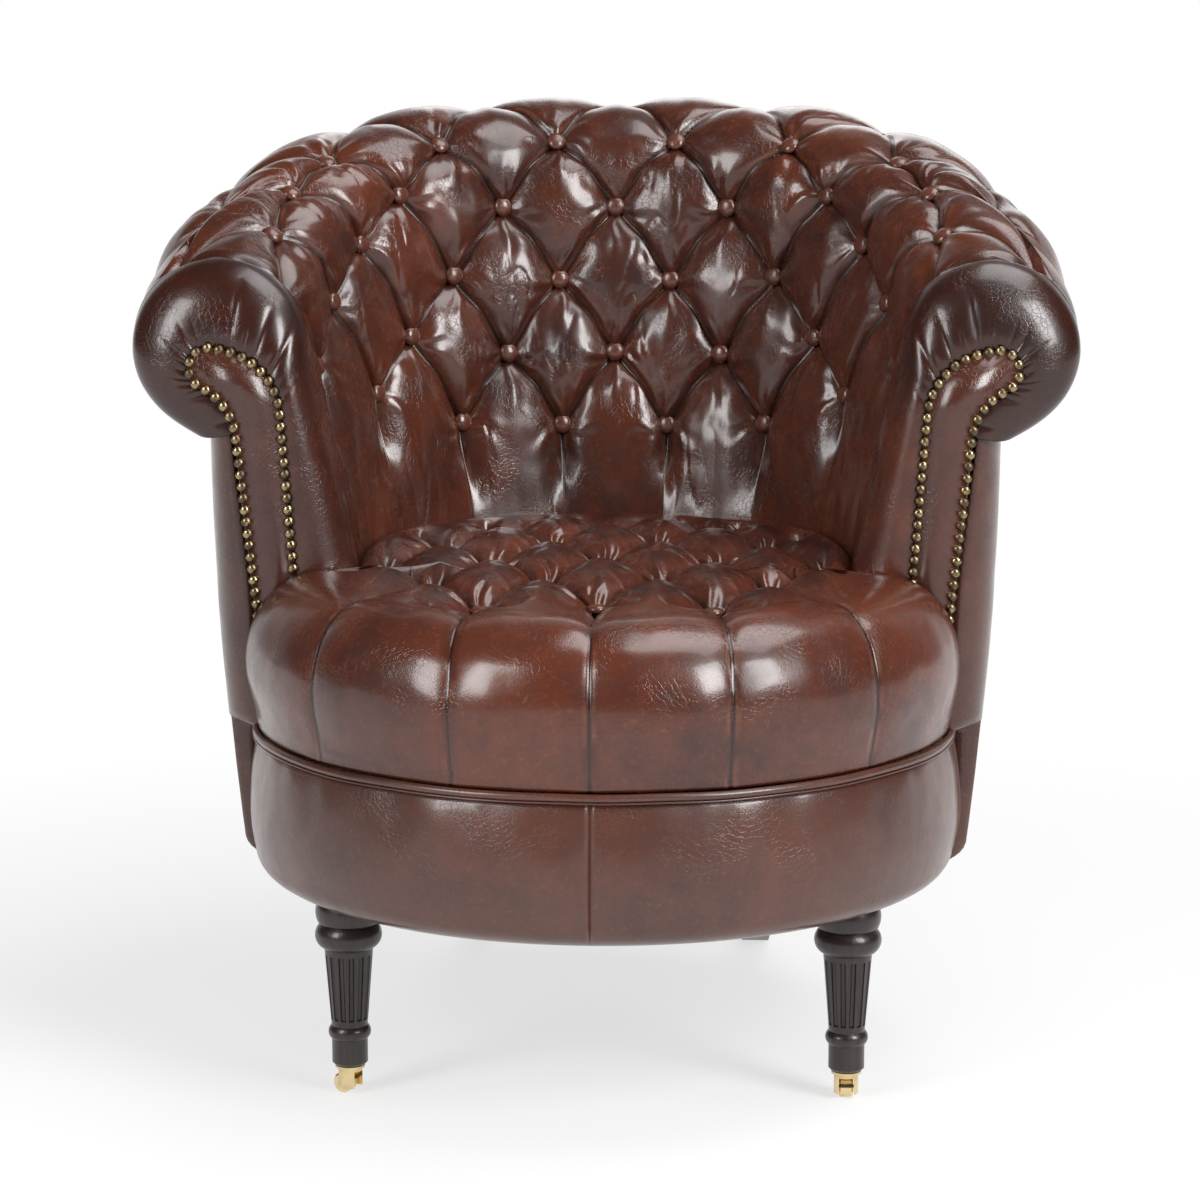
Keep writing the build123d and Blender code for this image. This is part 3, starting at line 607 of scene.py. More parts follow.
@dataclass(frozen=True)
class Metal:
    """A metal finish with patina in patches."""

    name: str
    bright: Colour
    patina: Colour
    gloss: tuple[float, float] = (0.18, 0.4)
    patches: float = 90.0
    spread: tuple[float, float] = (0.4, 0.65)

    def build(self, shop: Workshop) -> bpy.types.Material:
        """Makes the material.

        Args:
            shop: The shared node groups.

        Returns:
            The material.
        """
        material, nodes, shader = shop.start(self.name)
        where = nodes.add("TexCoord")
        cloud = nodes.add("TexNoise", Vector=where.outputs["Object"], Scale=self.patches, Detail=4.0)
        mask = nodes.span(cloud.outputs[0], *self.spread, 0.0, 1.0)
        nodes.feed(nodes.mix(mask, self.bright, self.patina), shader.inputs["Base Color"])
        nodes.feed(nodes.span(mask, 0.0, 1.0, *self.gloss), shader.inputs["Roughness"])
        shader.inputs["Metallic"].default_value = 1.0
        scratch = nodes.add("TexNoise", Vector=where.outputs["Object"], Scale=1400.0, Detail=2.0)
        nodes.bump(shader, scratch.outputs[0], 0.08, 0.0003)
        return material


@dataclass(frozen=True)
class Cloth:
    """A woven cloth finish."""

    name: str
    light: Colour
    dark: Colour
    threads: float = 420.0

    def build(self, shop: Workshop) -> bpy.types.Material:
        """Makes the material.

        Args:
            shop: The shared node groups.

        Returns:
            The material.
        """
        material, nodes, shader = shop.start(self.name)
        weave = shop.place(nodes, shop.weave, Scale=self.threads)
        # Painted shade: the low gaps between the threads take the darker colour.
        colour = nodes.mix(weave.outputs["Height"], self.dark, self.light)
        nodes.feed(colour, shader.inputs["Base Color"])
        shader.inputs["Roughness"].default_value = 0.9
        nodes.bump(shader, weave.outputs["Height"], 0.4, 0.0005)
        return material


@dataclass
class Finishes:
    """Every finish of the chair, by name."""

    shop: Workshop = field(default_factory=Workshop)
    made: dict[str, bpy.types.Material] = field(default_factory=dict)

    def __post_init__(self) -> None:
        """Builds the materials."""
        recipes = (
            Hide(
                "tufted_hide", (0.096, 0.024, 0.011, 1), (0.024, 0.007, 0.005, 1), (0.25, 0.080, 0.038, 1),
                pleats=Pleats.NEAR, tinted=True,
            ),
            Hide(
                "seat_hide", (0.108, 0.027, 0.013, 1), (0.036, 0.010, 0.007, 1), (0.27, 0.095, 0.05, 1),
                pleats=Pleats.CROSSED, tinted=True,
            ),
            Hide("facing_hide", (0.075, 0.021, 0.012, 1), (0.034, 0.010, 0.007, 1), (0.2, 0.07, 0.04, 1)),
            Hide(
                "button_hide", (0.10, 0.030, 0.017, 1), (0.05, 0.016, 0.011, 1), (0.24, 0.09, 0.05, 1),
                clouds=0.5,
            ),
            Hide("outer_hide", (0.080, 0.024, 0.014, 1), (0.032, 0.010, 0.008, 1), (0.20, 0.075, 0.042, 1)),
            Hide(
                "band_hide", (0.098, 0.034, 0.021, 1), (0.05, 0.018, 0.013, 1), (0.2, 0.085, 0.052, 1),
                polish=(0.27, 0.4), grain=Grain.OPEN,
            ),
            Timber("frame_wood", (0.52, 0.36, 0.21, 1), (0.36, 0.23, 0.12, 1), 0.6),
            Timber("leg_wood", (0.026, 0.014, 0.011, 1), (0.010, 0.006, 0.005, 1), 0.3, 0.25),
            Metal(
                "nail_brass", (0.36, 0.28, 0.15, 1), (0.11, 0.08, 0.05, 1),
                gloss=(0.24, 0.42), patches=110.0, spread=(0.4, 0.58),
            ),
            Metal(
                "castor_brass", (0.80, 0.64, 0.36, 1), (0.60, 0.45, 0.23, 1),
                gloss=(0.14, 0.26), patches=60.0, spread=(0.5, 0.75),
            ),
            Metal("axle_steel", (0.55, 0.54, 0.52, 1), (0.4, 0.39, 0.38, 1)),
            Cloth("canvas", (0.20, 0.17, 0.14, 1), (0.10, 0.085, 0.07, 1)),
            Cloth("stuffing", (0.5, 0.42, 0.32, 1), (0.36, 0.30, 0.22, 1)),
        )
        for recipe in recipes:
            self.made[recipe.name] = recipe.build(self.shop)

    def __getitem__(self, name: str) -> bpy.types.Material:
        """The material of a name."""
        return self.made[name]


@dataclass
class TubForm:
    """The padded form of back and arms, in millimetres about the seat's middle."""

    back_height: float = 843.0
    arm_drop: float = 128.0
    drop_power: float = 1.5
    front_slope: float = 0.45
    roll_radius: float = 72.0
    reach_back: float = 345.0
    reach_arm: float = 337.0
    foot_back: float = 228.0
    foot_arm: float = 202.0
    cover_foot: float = 330.0
    columns: int = 8
    arm_front: float = 50.0
    tuck_turn: float = -70.0

    def arm_share(self, column: Array) -> Array:
        """How far a column is on the way from the back to the arm."""
        turn = np.radians(np.clip(np.abs(column), 0, self.columns) * 90 / self.columns)
        return (1 - np.cos(turn)) ** self.drop_power

    def roll_height(self, column: Array, forward: Array) -> Array:
        """Height of the roll's middle."""
        drop = self.arm_drop * self.arm_share(column) + self.front_slope * forward
        return self.back_height - self.roll_radius - drop

    def roll_reach(self, column: Array) -> Array:
        """How far out the roll's middle lies."""
        return self.reach_back + (self.reach_arm - self.reach_back) * self.arm_share(column)

    def at(self, column: Array, forward: Array, reach: Array, height: Array) -> Array:
        """Points at a reach and height in a column's upright plane."""
        turn = np.radians(np.clip(column, -self.columns, self.columns) * 90 / self.columns)
        return np.stack([np.sin(turn) * reach, np.cos(turn) * reach - forward, height + 0 * reach], axis=-1)

    def pad_point(self, column: Array, forward: Array, run: Array, depth: Array) -> Array:
        """Points on the padding, up the wall and round the roll.

        Args:
            column: Lattice column.
            forward: Length ahead of the round part.
            run: Height up the wall, then arc length round the roll.
            depth: How deep under the padding's plain face.

        Returns:
            One point a row.
        """
        height = self.roll_height(column, forward)
        reach = self.roll_reach(column)
        foot = self.foot_back + (self.foot_arm - self.foot_back) * self.arm_share(column)
        share = (run - self.cover_foot) / (height - self.cover_foot)
        wall = foot + (reach - self.roll_radius - foot) * share + depth
        turn = math.pi - (run - height) / self.roll_radius
        radius = self.roll_radius - depth
        rolled = run > height
        out = np.where(rolled, reach + radius * np.cos(turn), wall)
        up = np.where(rolled, height + radius * np.sin(turn), run)
        return self.at(column, forward, out, up)


@dataclass
class Lattice:
    """The diamond buttoning over the tub."""

    form: TubForm
    lowest: float = 537.0
    pitch: float = 69.0
    rise: float = 79.0
    level_columns: float = 2.0
    rise_shares: tuple[float, ...] = (1.0, 1.0, 1.0, 0.75, 0.0)
    last_columns: tuple[int, ...] = (7, 8, 7, 6, 5)
    crest_turns: tuple[float, ...] = (78.0, 78.0, 78.0, 78.0, 78.0, 74.0, 65.0, 45.0, 20.0)
    tuft_depth: float = 22.0
    pleat_depth: float = 12.0
    crown: float = 5.0
    bow: float = 5.0
    button_stand: float = 12.0

    def ease(self, column: Array) -> Array:
        """How far the rows have climbed towards the arms."""
        return smooth(np.abs(column), self.level_columns, float(self.form.columns))

    def row_runs(self, column: Array, forward: Array) -> list[Array]:
        """Runs of every row, the crossing over the crest and the tuck, at each column.

        Args:
            column: Lattice column.
            forward: Length ahead of the round part.

        Returns:
            One array of runs a row.
        """
        ease = self.ease(column)
        runs = [np.full_like(column, self.form.cover_foot)]
        for row, share in enumerate(self.rise_shares):
            runs.append(self.lowest + row * self.pitch + self.rise * share * ease)
        height = self.form.roll_height(column, forward)
        turns = np.interp(np.abs(column), range(len(self.crest_turns)), self.crest_turns)
        runs.append(height + np.radians(180 - turns) * self.form.roll_radius)
        runs.append(height + math.radians(180 - self.form.tuck_turn) * self.form.roll_radius)
        return runs

    def run(self, row: Array, column: Array, forward: Array) -> Array:
        """Run at a row that may lie between two, from -1 at the foot to 6 at the tuck.

        Args:
            row: Lattice row.
            column: Lattice column.
            forward: Length ahead of the round part.

        Returns:
            Height up the wall, then arc length round the roll.
        """
        runs = np.stack(self.row_runs(column, forward))
        low = np.clip(np.floor(row + 1), 0, len(runs) - 2).astype(int)
        share = row + 1 - low
        index = np.arange(len(column))
        return runs[low, index] * (1 - share) + runs[low + 1, index] * share

    def bare(self, row: Array, column: Array) -> Array:
        """How near a crossing without a button is.

        Args:
            row: Lattice row.
            column: Lattice column.

        Returns:
            1 on such a crossing and 0 far from it.
        """
        total = np.zeros_like(row)
        for turn in range(0, 10):
            for level in range(0, 6):
                held = level < 5 and turn <= self.last_columns[level]
                if (level + turn) % 2 == 1 and not held:
                    far = (row - level) ** 2 + (np.abs(column) - turn) ** 2
                    total = np.maximum(total, np.exp(-far / 0.3))
        return total

    def depth(self, row: Array, column: Array) -> tuple[Array, Array]:
        """Depth of the tufting and how near the closest pleat is.

        Args:
            row: Lattice row.
            column: Lattice column.

        Returns:
            Depth in millimetres and the distance to a pleat, 0 on it and 1 in a diamond's middle.
        """
        signed_first = (column + row + 1) % 2 - 1
        signed_second = (row - column + 1) % 2 - 1
        first, second = 1 - np.abs(signed_first), 1 - np.abs(signed_second)
        rise = (signed_first + signed_second) / 2
        steep = 0.66 + 0.26 * rise
        held = self.tuft_depth - self.pleat_depth
        held = held * (1 - 0.85 * self.bare(row, column))

        def along(share: Array) -> Array:
            """Depth along a pleat, deepest at its buttons."""
            return self.pleat_depth + held * (1 - share) ** 1.7

        def risen(near: Array, power: Array | float) -> Array:
            """How far the leather has risen beside a pleat."""
            return (1 - (1 - np.clip(near, 0, 1)) ** 2.3) ** power

        one = along(second) * (1 - risen(first, steep))
        two = along(first) * (1 - risen(second, steep))
        diamond = (one**4 + two**4) ** 0.25 / np.where((first < 0.2) & (second < 0.2), 1.06, 1.0)
        odd = np.abs(column % 2 - 1)
        down = smooth(-row, 0.0, 0.42)
        low = (along(odd) * (1 - down) + 3.0 * down) * (1 - risen(odd, 0.6 + 0.9 * down))
        top = np.minimum(5.0, 11.0 - np.abs(column))
        over = smooth(row - top, 0.0, 0.8)
        step = np.where(np.abs(column) > 6, np.abs((column * 2) % 2 - 1), 1 - odd)
        scallop = (13.0 - 9.0 * smooth(np.abs(column), 6.0, 7.5)) * (1 - np.sin(step * math.pi / 2) ** 0.8)
        scallop = scallop * (1 - smooth(np.abs(column), 7.9, 8.3))
        high = scallop * over + diamond * (1 - over)
        value = np.where(row < 0, low, np.where(row > top, high, diamond))
        near = np.where(row < 0, odd + down * 0.02, np.where(row > top, step, np.minimum(first, second)))
        near = np.where((row > top) & (np.abs(column) > 8.2), 1.0, near)
        fade = 1 - smooth(np.abs(column), 8.05, 8.9) * (1 - smooth(row, 0.8, 1.6))
        fade = fade * (1 - smooth(np.abs(column), 8.3, 8.95))
        return value * fade, near + (1 - fade)

    def buttons(self) -> list[tuple[int, int]]:
        """Row and column of every button.

        Returns:
            One pair a button.
        """
        span = range(-self.form.columns, self.form.columns + 1)
        return [
            (row, column)
            for column in span
            for row, last in enumerate(self.last_columns)
            if (row + column) % 2 == 1 and abs(column) <= last
        ]

    def point(self, row: float, column: float, depth: float) -> Vector:
        """One point of the padding at a crossing.

        Args:
            row: Lattice row.
            column: Lattice column.
            depth: How deep it lies.

        Returns:
            The point.
        """
        where = np.array([float(column)])
        level = np.zeros(1)
        run = self.run(np.array([float(row)]), where, level)
        return Vector(self.form.pad_point(where, level, run, np.array([depth]))[0])

    def button_place(self, row: int, column: int) -> tuple[Vector, Vector]:
        """A button's foot and the way that it looks.

        Args:
            row: Its row.
            column: Its column.

        Returns:
            The middle of its foot and its normal.
        """
        seat = self.point(row, column, self.tuft_depth)
        last = self.form.columns
        along = self.point(row, min(column + 1, last), 0.0) - self.point(row, max(column - 1, -last), 0.0)
        rise = self.point(row + 0.5, column, 0.0) - self.point(row - 0.5, column, 0.0)
        normal = along.cross(rise).normalized()
        if normal.dot(self.point(row, column, 0.0) - seat) < 0:
            normal = -normal
        return seat + normal * self.button_stand, normal


@dataclass
class ScrollLine:
    """The line of nails on an arm's front, as points in x and z."""

    form: TubForm
    foot: float = 330.0
    inner_foot: float = 263.0
    outer_foot: float = 295.0
    head_shares: tuple[tuple[float, float], ...] = (
        (-0.78, -0.51), (-0.57, -0.06), (-0.04, 0.21), (0.31, -0.03),
        (0.15, -0.25), (-0.12, -0.49), (-0.25, -0.86),
    )
    head_turns: tuple[float, ...] = (196.0, 158.0, 92.0, 12.0, -28.0, -56.0, -73.0)

    def centre(self) -> tuple[float, float]:
        """Middle of the roll at the arm's front."""
        column = np.array([8.0])
        height = self.form.roll_height(column, np.array([self.form.arm_front]))
        return float(self.form.roll_reach(column)[0]), float(height[0])

    def arc(self, first: Vector, middle: Vector, last: Vector, count: int = 12) -> list[Vector]:
        """Points of the arc through three points, without its last.

        Args:
            first: Where it starts.
            middle: A point on it.
            last: Where it ends.
            count: Its steps.

        Returns:
            The points.
        """
        left, right = middle - first, last - first
        cross = 2 * (left.x * right.y - left.y * right.x)
        square_left, square_right = left.length_squared, right.length_squared
        centre = first + Vector(
            ((square_left * right.y - square_right * left.y) / cross,
             (square_right * left.x - square_left * right.x) / cross)
        )
        start = math.atan2(first.y - centre.y, first.x - centre.x)
        turns = [(math.atan2(p.y - centre.y, p.x - centre.x) - start) % math.tau for p in (middle, last)]
        sweep = turns[1] if turns[0] < turns[1] else turns[1] - math.tau
        radius = (first - centre).length
        angles = [start + sweep * step / count for step in range(count)]
        return [centre + Vector((math.cos(angle), math.sin(angle))) * radius for angle in angles]

    def points(self) -> list[Vector]:
        """The whole line, from the inner foot over the head to the outer foot.

        Returns:
            Its points.
        """
        cx, cz = self.centre()
        radius = self.form.roll_radius
        head = [Vector((cx + x * radius, cz + z * radius)) for x, z in self.head_shares]
        line = [Vector((self.inner_foot, self.foot))]
        for start in (0, 2, 4):
            line += self.arc(*head[start : start + 3])
        return line + [head[6], Vector((self.outer_foot, self.foot))]

    def resampled(self, pitch: float) -> list[Vector]:
        """The line's points at an even pitch.

        Args:
            pitch: Length between two points.

        Returns:
            The points.
        """
        line = self.points()
        lengths = [0.0]
        for first, second in zip(line, line[1:]):
            lengths.append(lengths[-1] + (second - first).length)
        count = round(lengths[-1] / pitch)
        at = np.linspace(0, lengths[-1], count + 1)
        xs = np.interp(at, lengths, [point.x for point in line])
        zs = np.interp(at, lengths, [point.y for point in line])
        return [Vector(pair) for pair in zip(xs, zs)]

    def wall_turn(self) -> float:
        """Degrees of turn a millimetre of wall between the roll's middle and the line's first point."""
        first = self.head_turns[0] - 180
        return first / (self.form.roll_radius * math.sin(math.radians(first)))

    def beside(self, turn: Array, height: Array) -> Array:
        """Points of the line beside the roll's turn, or beside a height under its head.

        Args:
            turn: The roll's turn in degrees, 180 and more up the wall.
            height: Height up the wall.

        Returns:
            x and z, one pair a row.
        """
        cx, cz = self.centre()
        radius = self.form.roll_radius
        heads = np.array(self.head_shares) * radius + (cx, cz)
        turns = np.array(self.head_turns)
        fine_turns, fine = [], []
        for start in (0, 2, 4):
            arc = self.arc(*[Vector(heads[index]) for index in range(start, start + 3)], count=16)
            fine += [tuple(point) for point in arc]
            fine_turns += list(np.linspace(turns[start], turns[start + 2], 17)[:16])
        fine.append(tuple(heads[6]))
        fine_turns.append(turns[6])
        order = np.argsort(fine_turns)
        sorted_turns = np.array(fine_turns)[order]
        sorted_points = np.array(fine)[order]
        x = np.interp(turn, sorted_turns, sorted_points[:, 0])
        z = np.interp(turn, sorted_turns, sorted_points[:, 1])
        wall_top = cz + radius * math.sin(math.radians(turns[0]))
        share = np.clip((height - self.foot) / (wall_top - self.foot), 0, 1)
        wall_x = self.inner_foot + (heads[0][0] - self.inner_foot) * share
        wall_z = self.foot + (heads[0][1] - self.foot) * share
        on_wall = turn >= turns[0]
        return np.stack([np.where(on_wall, wall_x, x), np.where(on_wall, wall_z, z)], axis=-1)


@dataclass
class ButtonedInside:
    """The buttoned inside of back and arms, drawn round each arm's front to the nails."""

    lattice: Lattice
    line: ScrollLine
    cell: int = 26
    front_steps: int = 18
    head_steps: int = 34
    foot_rows: int = 44
    back_rows: int = 56
    inner_rows: int = 12
    lattice_front: float = 18.0
    stuffing: float = 29.0
    darts: tuple[tuple[float, float, float], ...] = (
        (160.0, 1.0, 3.4), (134.0, 0.85, 3.0), (104.0, 1.0, 3.4),
    )
    gathers: int = 27

    def spread(self, across: Array) -> tuple[Array, Array, Array]:
        """Column, length forward and share of the head at each step across.

        Args:
            across: Steps across.

        Returns:
            The three, one value a step.
        """
        middle = self.lattice.form.columns * self.cell
        past = np.abs(across - self.half()) - middle
        column = np.clip(past, None, 0) / self.cell + self.lattice.form.columns
        front = np.clip(past / self.front_steps, 0, 1)
        head = np.clip((past - self.front_steps) / self.head_steps, 0, 1)
        sign = np.where(across < self.half(), -1.0, 1.0)
        return sign * (column + front), self.lattice_front * front, head

    def half(self) -> int:
        """Steps from one end to the middle of the back."""
        return self.lattice.form.columns * self.cell + self.front_steps + self.head_steps

    def outer_rows(self) -> int:
        """Rows over the padding's face."""
        return self.foot_rows + 5 * self.cell + self.back_rows

    def row_of(self, up: Array) -> Array:
        """Lattice row of a step up the padding's face.

        Args:
            up: Steps up.

        Returns:
            The rows.
        """
        lattice_rows = 5 * self.cell
        low = (up / self.foot_rows) ** 0.8 - 1
        middle = (up - self.foot_rows) / self.cell
        high = 5 + (up - self.foot_rows - lattice_rows) / self.back_rows
        return np.where(up < self.foot_rows, low, np.where(up < self.foot_rows + lattice_rows, middle, high))

    def wrinkles(self, near: Array, column: Array, run: Array) -> Array:
        """Folds that run up from the buttons, and long creases down the puffs.

        Args:
            near: Distance to the closest pleat.
            column: Lattice column.
            run: Height up the wall, then arc length round the roll.

        Returns:
            How much deeper the leather lies.
        """
        lattice = self.lattice
        width = math.radians(90 / lattice.form.columns) * 300.0
        total = np.zeros_like(run)
        for button_row, button_column in lattice.buttons():
            level = np.array([float(button_row)]), np.array([float(button_column)]), np.zeros(1)
            across = (column - button_column) * width
            up = run - lattice.run(*level)[0]
            far = np.hypot(across, up)
            by = far < 80
            seed = math.sin(button_row * 12.9 + button_column * 78.2) * 43.0
            turn = np.arctan2(across[by], up[by]) + 0.22 * np.sin(far[by] / 12 + seed)
            folds = np.cos(turn * 7 + seed) + 0.6 * np.cos(turn * 12 + seed * 2.1)
            strength = np.exp(-(((far[by] - 17) / 24) ** 2)) * np.clip(far[by] / 12, 0, 1)
            total[by] += folds * strength * (0.65 + 0.75 * np.clip(np.cos(turn), 0, 1) ** 2)
        spread = np.stack([column * width, run * 0.3, 0 * run], axis=-1)
        crease = np.exp(-np.abs(rough(spread, 19.0, 5.0)) / 0.06)
        where = smooth(rough(spread, 46.0, 12.0), 0.0, 0.35)
        soft = rough(spread, 26.0, 21.0) * 1.3
        return (total + 1.2 * crease * where + soft) * np.clip(near / 0.22, 0, 1)

    def gathering(self, turn: Array, head: Array) -> Array:
        """How deep the gathers and long darts round an arm's front are drawn.

        Args:
            turn: The roll's turn in degrees.
            head: Share of the way to the nails.

        Returns:
            The share drawn in.
        """
        pleat = np.zeros_like(turn)
        for index, (place, reach, width) in enumerate(self.darts):
            bent = turn - place - 7 * (1 - head) ** 1.5 * (index - 1)
            near = np.exp(-np.abs(bent) / width)
            pleat = np.maximum(pleat, 1.1 * near * smooth(head, 1 - reach, 1.15 - reach * 0.5))
        for index in range(self.gathers):
            place = 186 - index * 244 / (self.gathers - 1) + 3.0 * math.sin(index * 5.3)
            reach = 0.32 + 0.2 * math.sin(index * 1.9 + 1)
            width = 1.7 + 0.6 * math.sin(index * 2.4)
            near = np.exp(-np.abs(turn - place - 2 * np.sin(head * 3 + index)) / width)
            strength = 0.75 + 0.4 * math.sin(index * 3.7)
            pleat = np.maximum(pleat, near * strength * smooth(head, 1 - reach, 1.0))
        return pleat * (head > 0)

    def place(self, across: Array, up: Array) -> Array:
        """Points of the whole closed form.

        Args:
            across: Steps across.
            up: Steps up.

        Returns:
            One point a row.
        """
        lattice, form = self.lattice, self.lattice.form
        column, forward, head = self.spread(across)
        outer_rows = self.outer_rows()
        outer = up <= outer_rows
        row = self.row_of(np.clip(up, 0, outer_rows))
        base_run = lattice.run(row, column, forward)
        diamond = (row > 0) & (row < 5) & (np.abs(column) < 9)
        lift = np.where(diamond, np.sin(np.pi * column) ** 2 * np.sin(np.pi * row) ** 2, 0.0)
        run = base_run + lattice.bow * lift
        foot_run = form.cover_foot
        tuck_run = form.roll_height(column, forward) + math.radians(180 - form.tuck_turn) * form.roll_radius
        inner_share = np.clip((up - outer_rows - 1) / (self.inner_rows - 1), 0, 1)
        run = np.where(outer, run, tuck_run + (foot_run - tuck_run) * inner_share)
        last = up >= outer_rows + self.inner_rows + 1
        run = np.where(last, foot_run, run)
        depth, near = lattice.depth(row, column)
        tufted = head <= 0
        calmed = 1 - smooth(np.abs(column), 8.5, 9.0)
        depth = depth + self.wrinkles(near, column, run) * calmed
        calm = smooth(row, -1.0, -0.6) * (1 - smooth(row, 5.2, 6.0))
        depth = (depth - lattice.crown) * calm
        depth = np.where(outer | last, depth, self.stuffing)
        quarter = head * math.pi / 2
        ahead = form.arm_front - self.lattice_front
        forward = forward + ahead * np.sin(quarter) ** 0.85 * ~tufted
        height = form.roll_height(column, forward)
        before = form.roll_height(column, np.full_like(column, self.lattice_front))
        squeezed = foot_run + (run - foot_run) * (height - foot_run) / (before - foot_run)
        run = np.where(tufted, run, np.where(run > before, run + height - before, squeezed))
        behind = np.where(outer, forward, np.minimum(forward, form.arm_front - 4))
        point = form.pad_point(column, behind, run, depth)
        line_height = self.line.centre()[1]
        level = foot_run + (run - foot_run) * (line_height - foot_run) / (height - foot_run)
        turn = 180 - np.degrees((run - height) / form.roll_radius)
        turn = np.where(run < height, 180 + (line_height - level) * self.line.wall_turn(), turn)
        target = self.line.beside(np.clip(turn, form.tuck_turn, 400), level)
        share = (1 - np.cos(quarter) ** 1.15) * (outer | last)
        sign = np.sign(column)
        x = np.abs(point[:, 0]) * (1 - share) + target[:, 0] * share
        z = point[:, 2] * (1 - share) + target[:, 1] * share
        pleat = self.gathering(turn, head) * outer
        push = np.where(tufted, 0.0, 4.5 * np.sin(head * math.pi) ** 0.8 - 2.2 * pleat) * outer
        inward = np.stack([self.line.centre()[0] - x, line_height - z], axis=-1)
        inward = inward / np.maximum(np.linalg.norm(inward, axis=1), 20.0)[:, None]
        drawn = np.where(tufted, 0.0, pleat * 2.4 * (1 - share) * smooth(head, 0.1, 0.5))
        x, z = x + inward[:, 0] * drawn, z + inward[:, 1] * drawn
        y = point[:, 1] - push * np.sin(quarter)
        x = np.where(tufted, point[:, 0], sign * x)
        z = np.where(tufted, point[:, 2], z)
        placed = np.stack([x, y, z], axis=-1)
        self.near = np.where(outer & tufted, near, 1.0 - 0.75 * np.clip(pleat - 0.55, 0, 1) * outer)
        # Painted shade: marks the arm tops and the heads round the arms' fronts to be darkened in the
        # leather's colour; the small swell is calmed there too.
        arm = smooth(np.abs(column), 7.4, 8.8) * smooth(run, 590.0, 700.0)
        self.darkened = 0.8 * np.clip(arm + ~tufted * smooth(run, 560.0, 660.0), 0, 1)
        swell = rough(placed, 70.0, 3.0) * 1.6 + rough(placed, 24.0, 9.0) * (0.8 - 0.8 * self.darkened)
        outward = np.where(outer & (up > 4), swell, 0.0)
        flat = placed * (1, 1, 0)
        flat[:, 2] = placed[:, 2] - form.roll_height(column, forward)
        flat = flat / np.maximum(np.linalg.norm(flat, axis=1), 1.0)[:, None]
        return placed + flat * (outward * (1 - share))[:, None]

    def build(self, finishes: Finishes) -> bpy.types.Object:
        """Builds the piece.

        Args:
            finishes: The chair's finishes.

        Returns:
            The padded piece.
        """
        rows = self.outer_rows() + self.inner_rows + 1
        marks: dict[str, Array] = {}

        def place(across: Array, up: Array) -> Array:
            """Points of the padding; keeps what the leather reads of them.

            Args:
                across: Steps across.
                up: Steps up.

            Returns:
                One point a row.
            """
            points = self.place(across, up)
            marks.update(near=self.near, darkened=self.darkened, across=across, up=up)
            return points

        mesh = mapped_grid(2 * self.half(), rows, place)
        close = mesh.verts.layers.float.new("near")
        deep = mesh.verts.layers.float.new("darkened")
        for vertex, near, dark in zip(mesh.verts, marks["near"], marks["darkened"]):
            vertex[close] = float(near)
            vertex[deep] = float(dark)
        self.cut_pleats(mesh, marks["across"], marks["up"])
        close_up(mesh)
        piece = new_piece(
            "buttoned_inside", mesh, finishes["tufted_hide"],
            replaced=(
                "inside_back", "inside_arm_left", "inside_arm_right", "arm_border_left", "arm_border_right",
                "tub_lining", "roll_core",
            ),
        )
        return piece

    def cut_pleats(self, mesh: bmesh.types.BMesh, across: Array, up: Array) -> None:
        """Splits each face of the lattice along its nearest pleat, so that the folds are crisp.

        Args:
            mesh: The grid of the padding.
            across: Step across of each vertex.
            up: Step up of each vertex.
        """
        mesh.verts.index_update()
        middle = self.half()
        for face in list(mesh.faces):
            corners = {
                (int(across[vertex.index]) - middle, int(up[vertex.index]) - self.foot_rows): vertex
                for vertex in face.verts
            }
            left = min(along for along, _ in corners)
            low = min(step for _, step in corners)
            if not 0 <= low < 5 * self.cell:
                continue
            column, row = (left + 0.5) / self.cell, (low + 0.5) / self.cell
            falling = abs((column + row) % 2 - 1) < abs((column - row) % 2 - 1)
            first, second = ((0, 1), (1, 0)) if falling else ((0, 0), (1, 1))
            bmesh.utils.face_split(
                face, corners[left + first[0], low + first[1]], corners[left + second[0], low + second[1]]
            )


def dome(mesh: bmesh.types.BMesh, centre: Vector, normal: Vector, radius: float, height: float, steps: int,
         rings: int, skirt: float = 0.0) -> None:
    """Adds one domed head to a mesh.

    Args:
        mesh: The mesh that gets it, in metres.
        centre: Middle of its foot, in millimetres.
        normal: The way that it looks.
        radius: Its radius.
        height: Its height.
        steps: Faces round it.
        rings: Rings from rim to crown.
        skirt: Height of its upright rim.
    """
    turn = normal.to_track_quat("Z", "Y").to_matrix().to_4x4()
    rings_made = []
    for ring in range(rings + 1):
        share = ring / rings
        out = radius * math.cos(share * math.pi / 2) ** 0.8
        up = skirt + (height - skirt) * math.sin(share * math.pi / 2)
        rings_made.append((max(out, radius * 0.02), up))
    if skirt > 0:
        rings_made.insert(0, (radius * 0.9, 0.0))
    first = [
        mesh.verts.new((rings_made[0][0] * math.cos(step * math.tau / steps),
                        rings_made[0][0] * math.sin(step * math.tau / steps), rings_made[0][1]))
        for step in range(steps)
    ]
    made = list(first)
    face = mesh.faces.new(first)
    for out, up in rings_made[1:]:
        grown = bmesh.ops.extrude_face_region(mesh, geom=[face])["geom"]
        ring = [item for item in grown if isinstance(item, bmesh.types.BMVert)]
        bmesh.ops.delete(mesh, geom=[face], context="FACES_ONLY")
        face = next(item for item in grown if isinstance(item, bmesh.types.BMFace))
        for vertex in ring:
            flat = Vector((vertex.co.x, vertex.co.y, 0)).normalized() * out
            vertex.co = (flat.x, flat.y, up)
        made += ring
    matrix = Matrix.Diagonal((MM, MM, MM, 1)) @ Matrix.Translation(centre - Vector((0, SET_BACK, 0))) @ turn
    bmesh.ops.transform(mesh, matrix=matrix, verts=made)


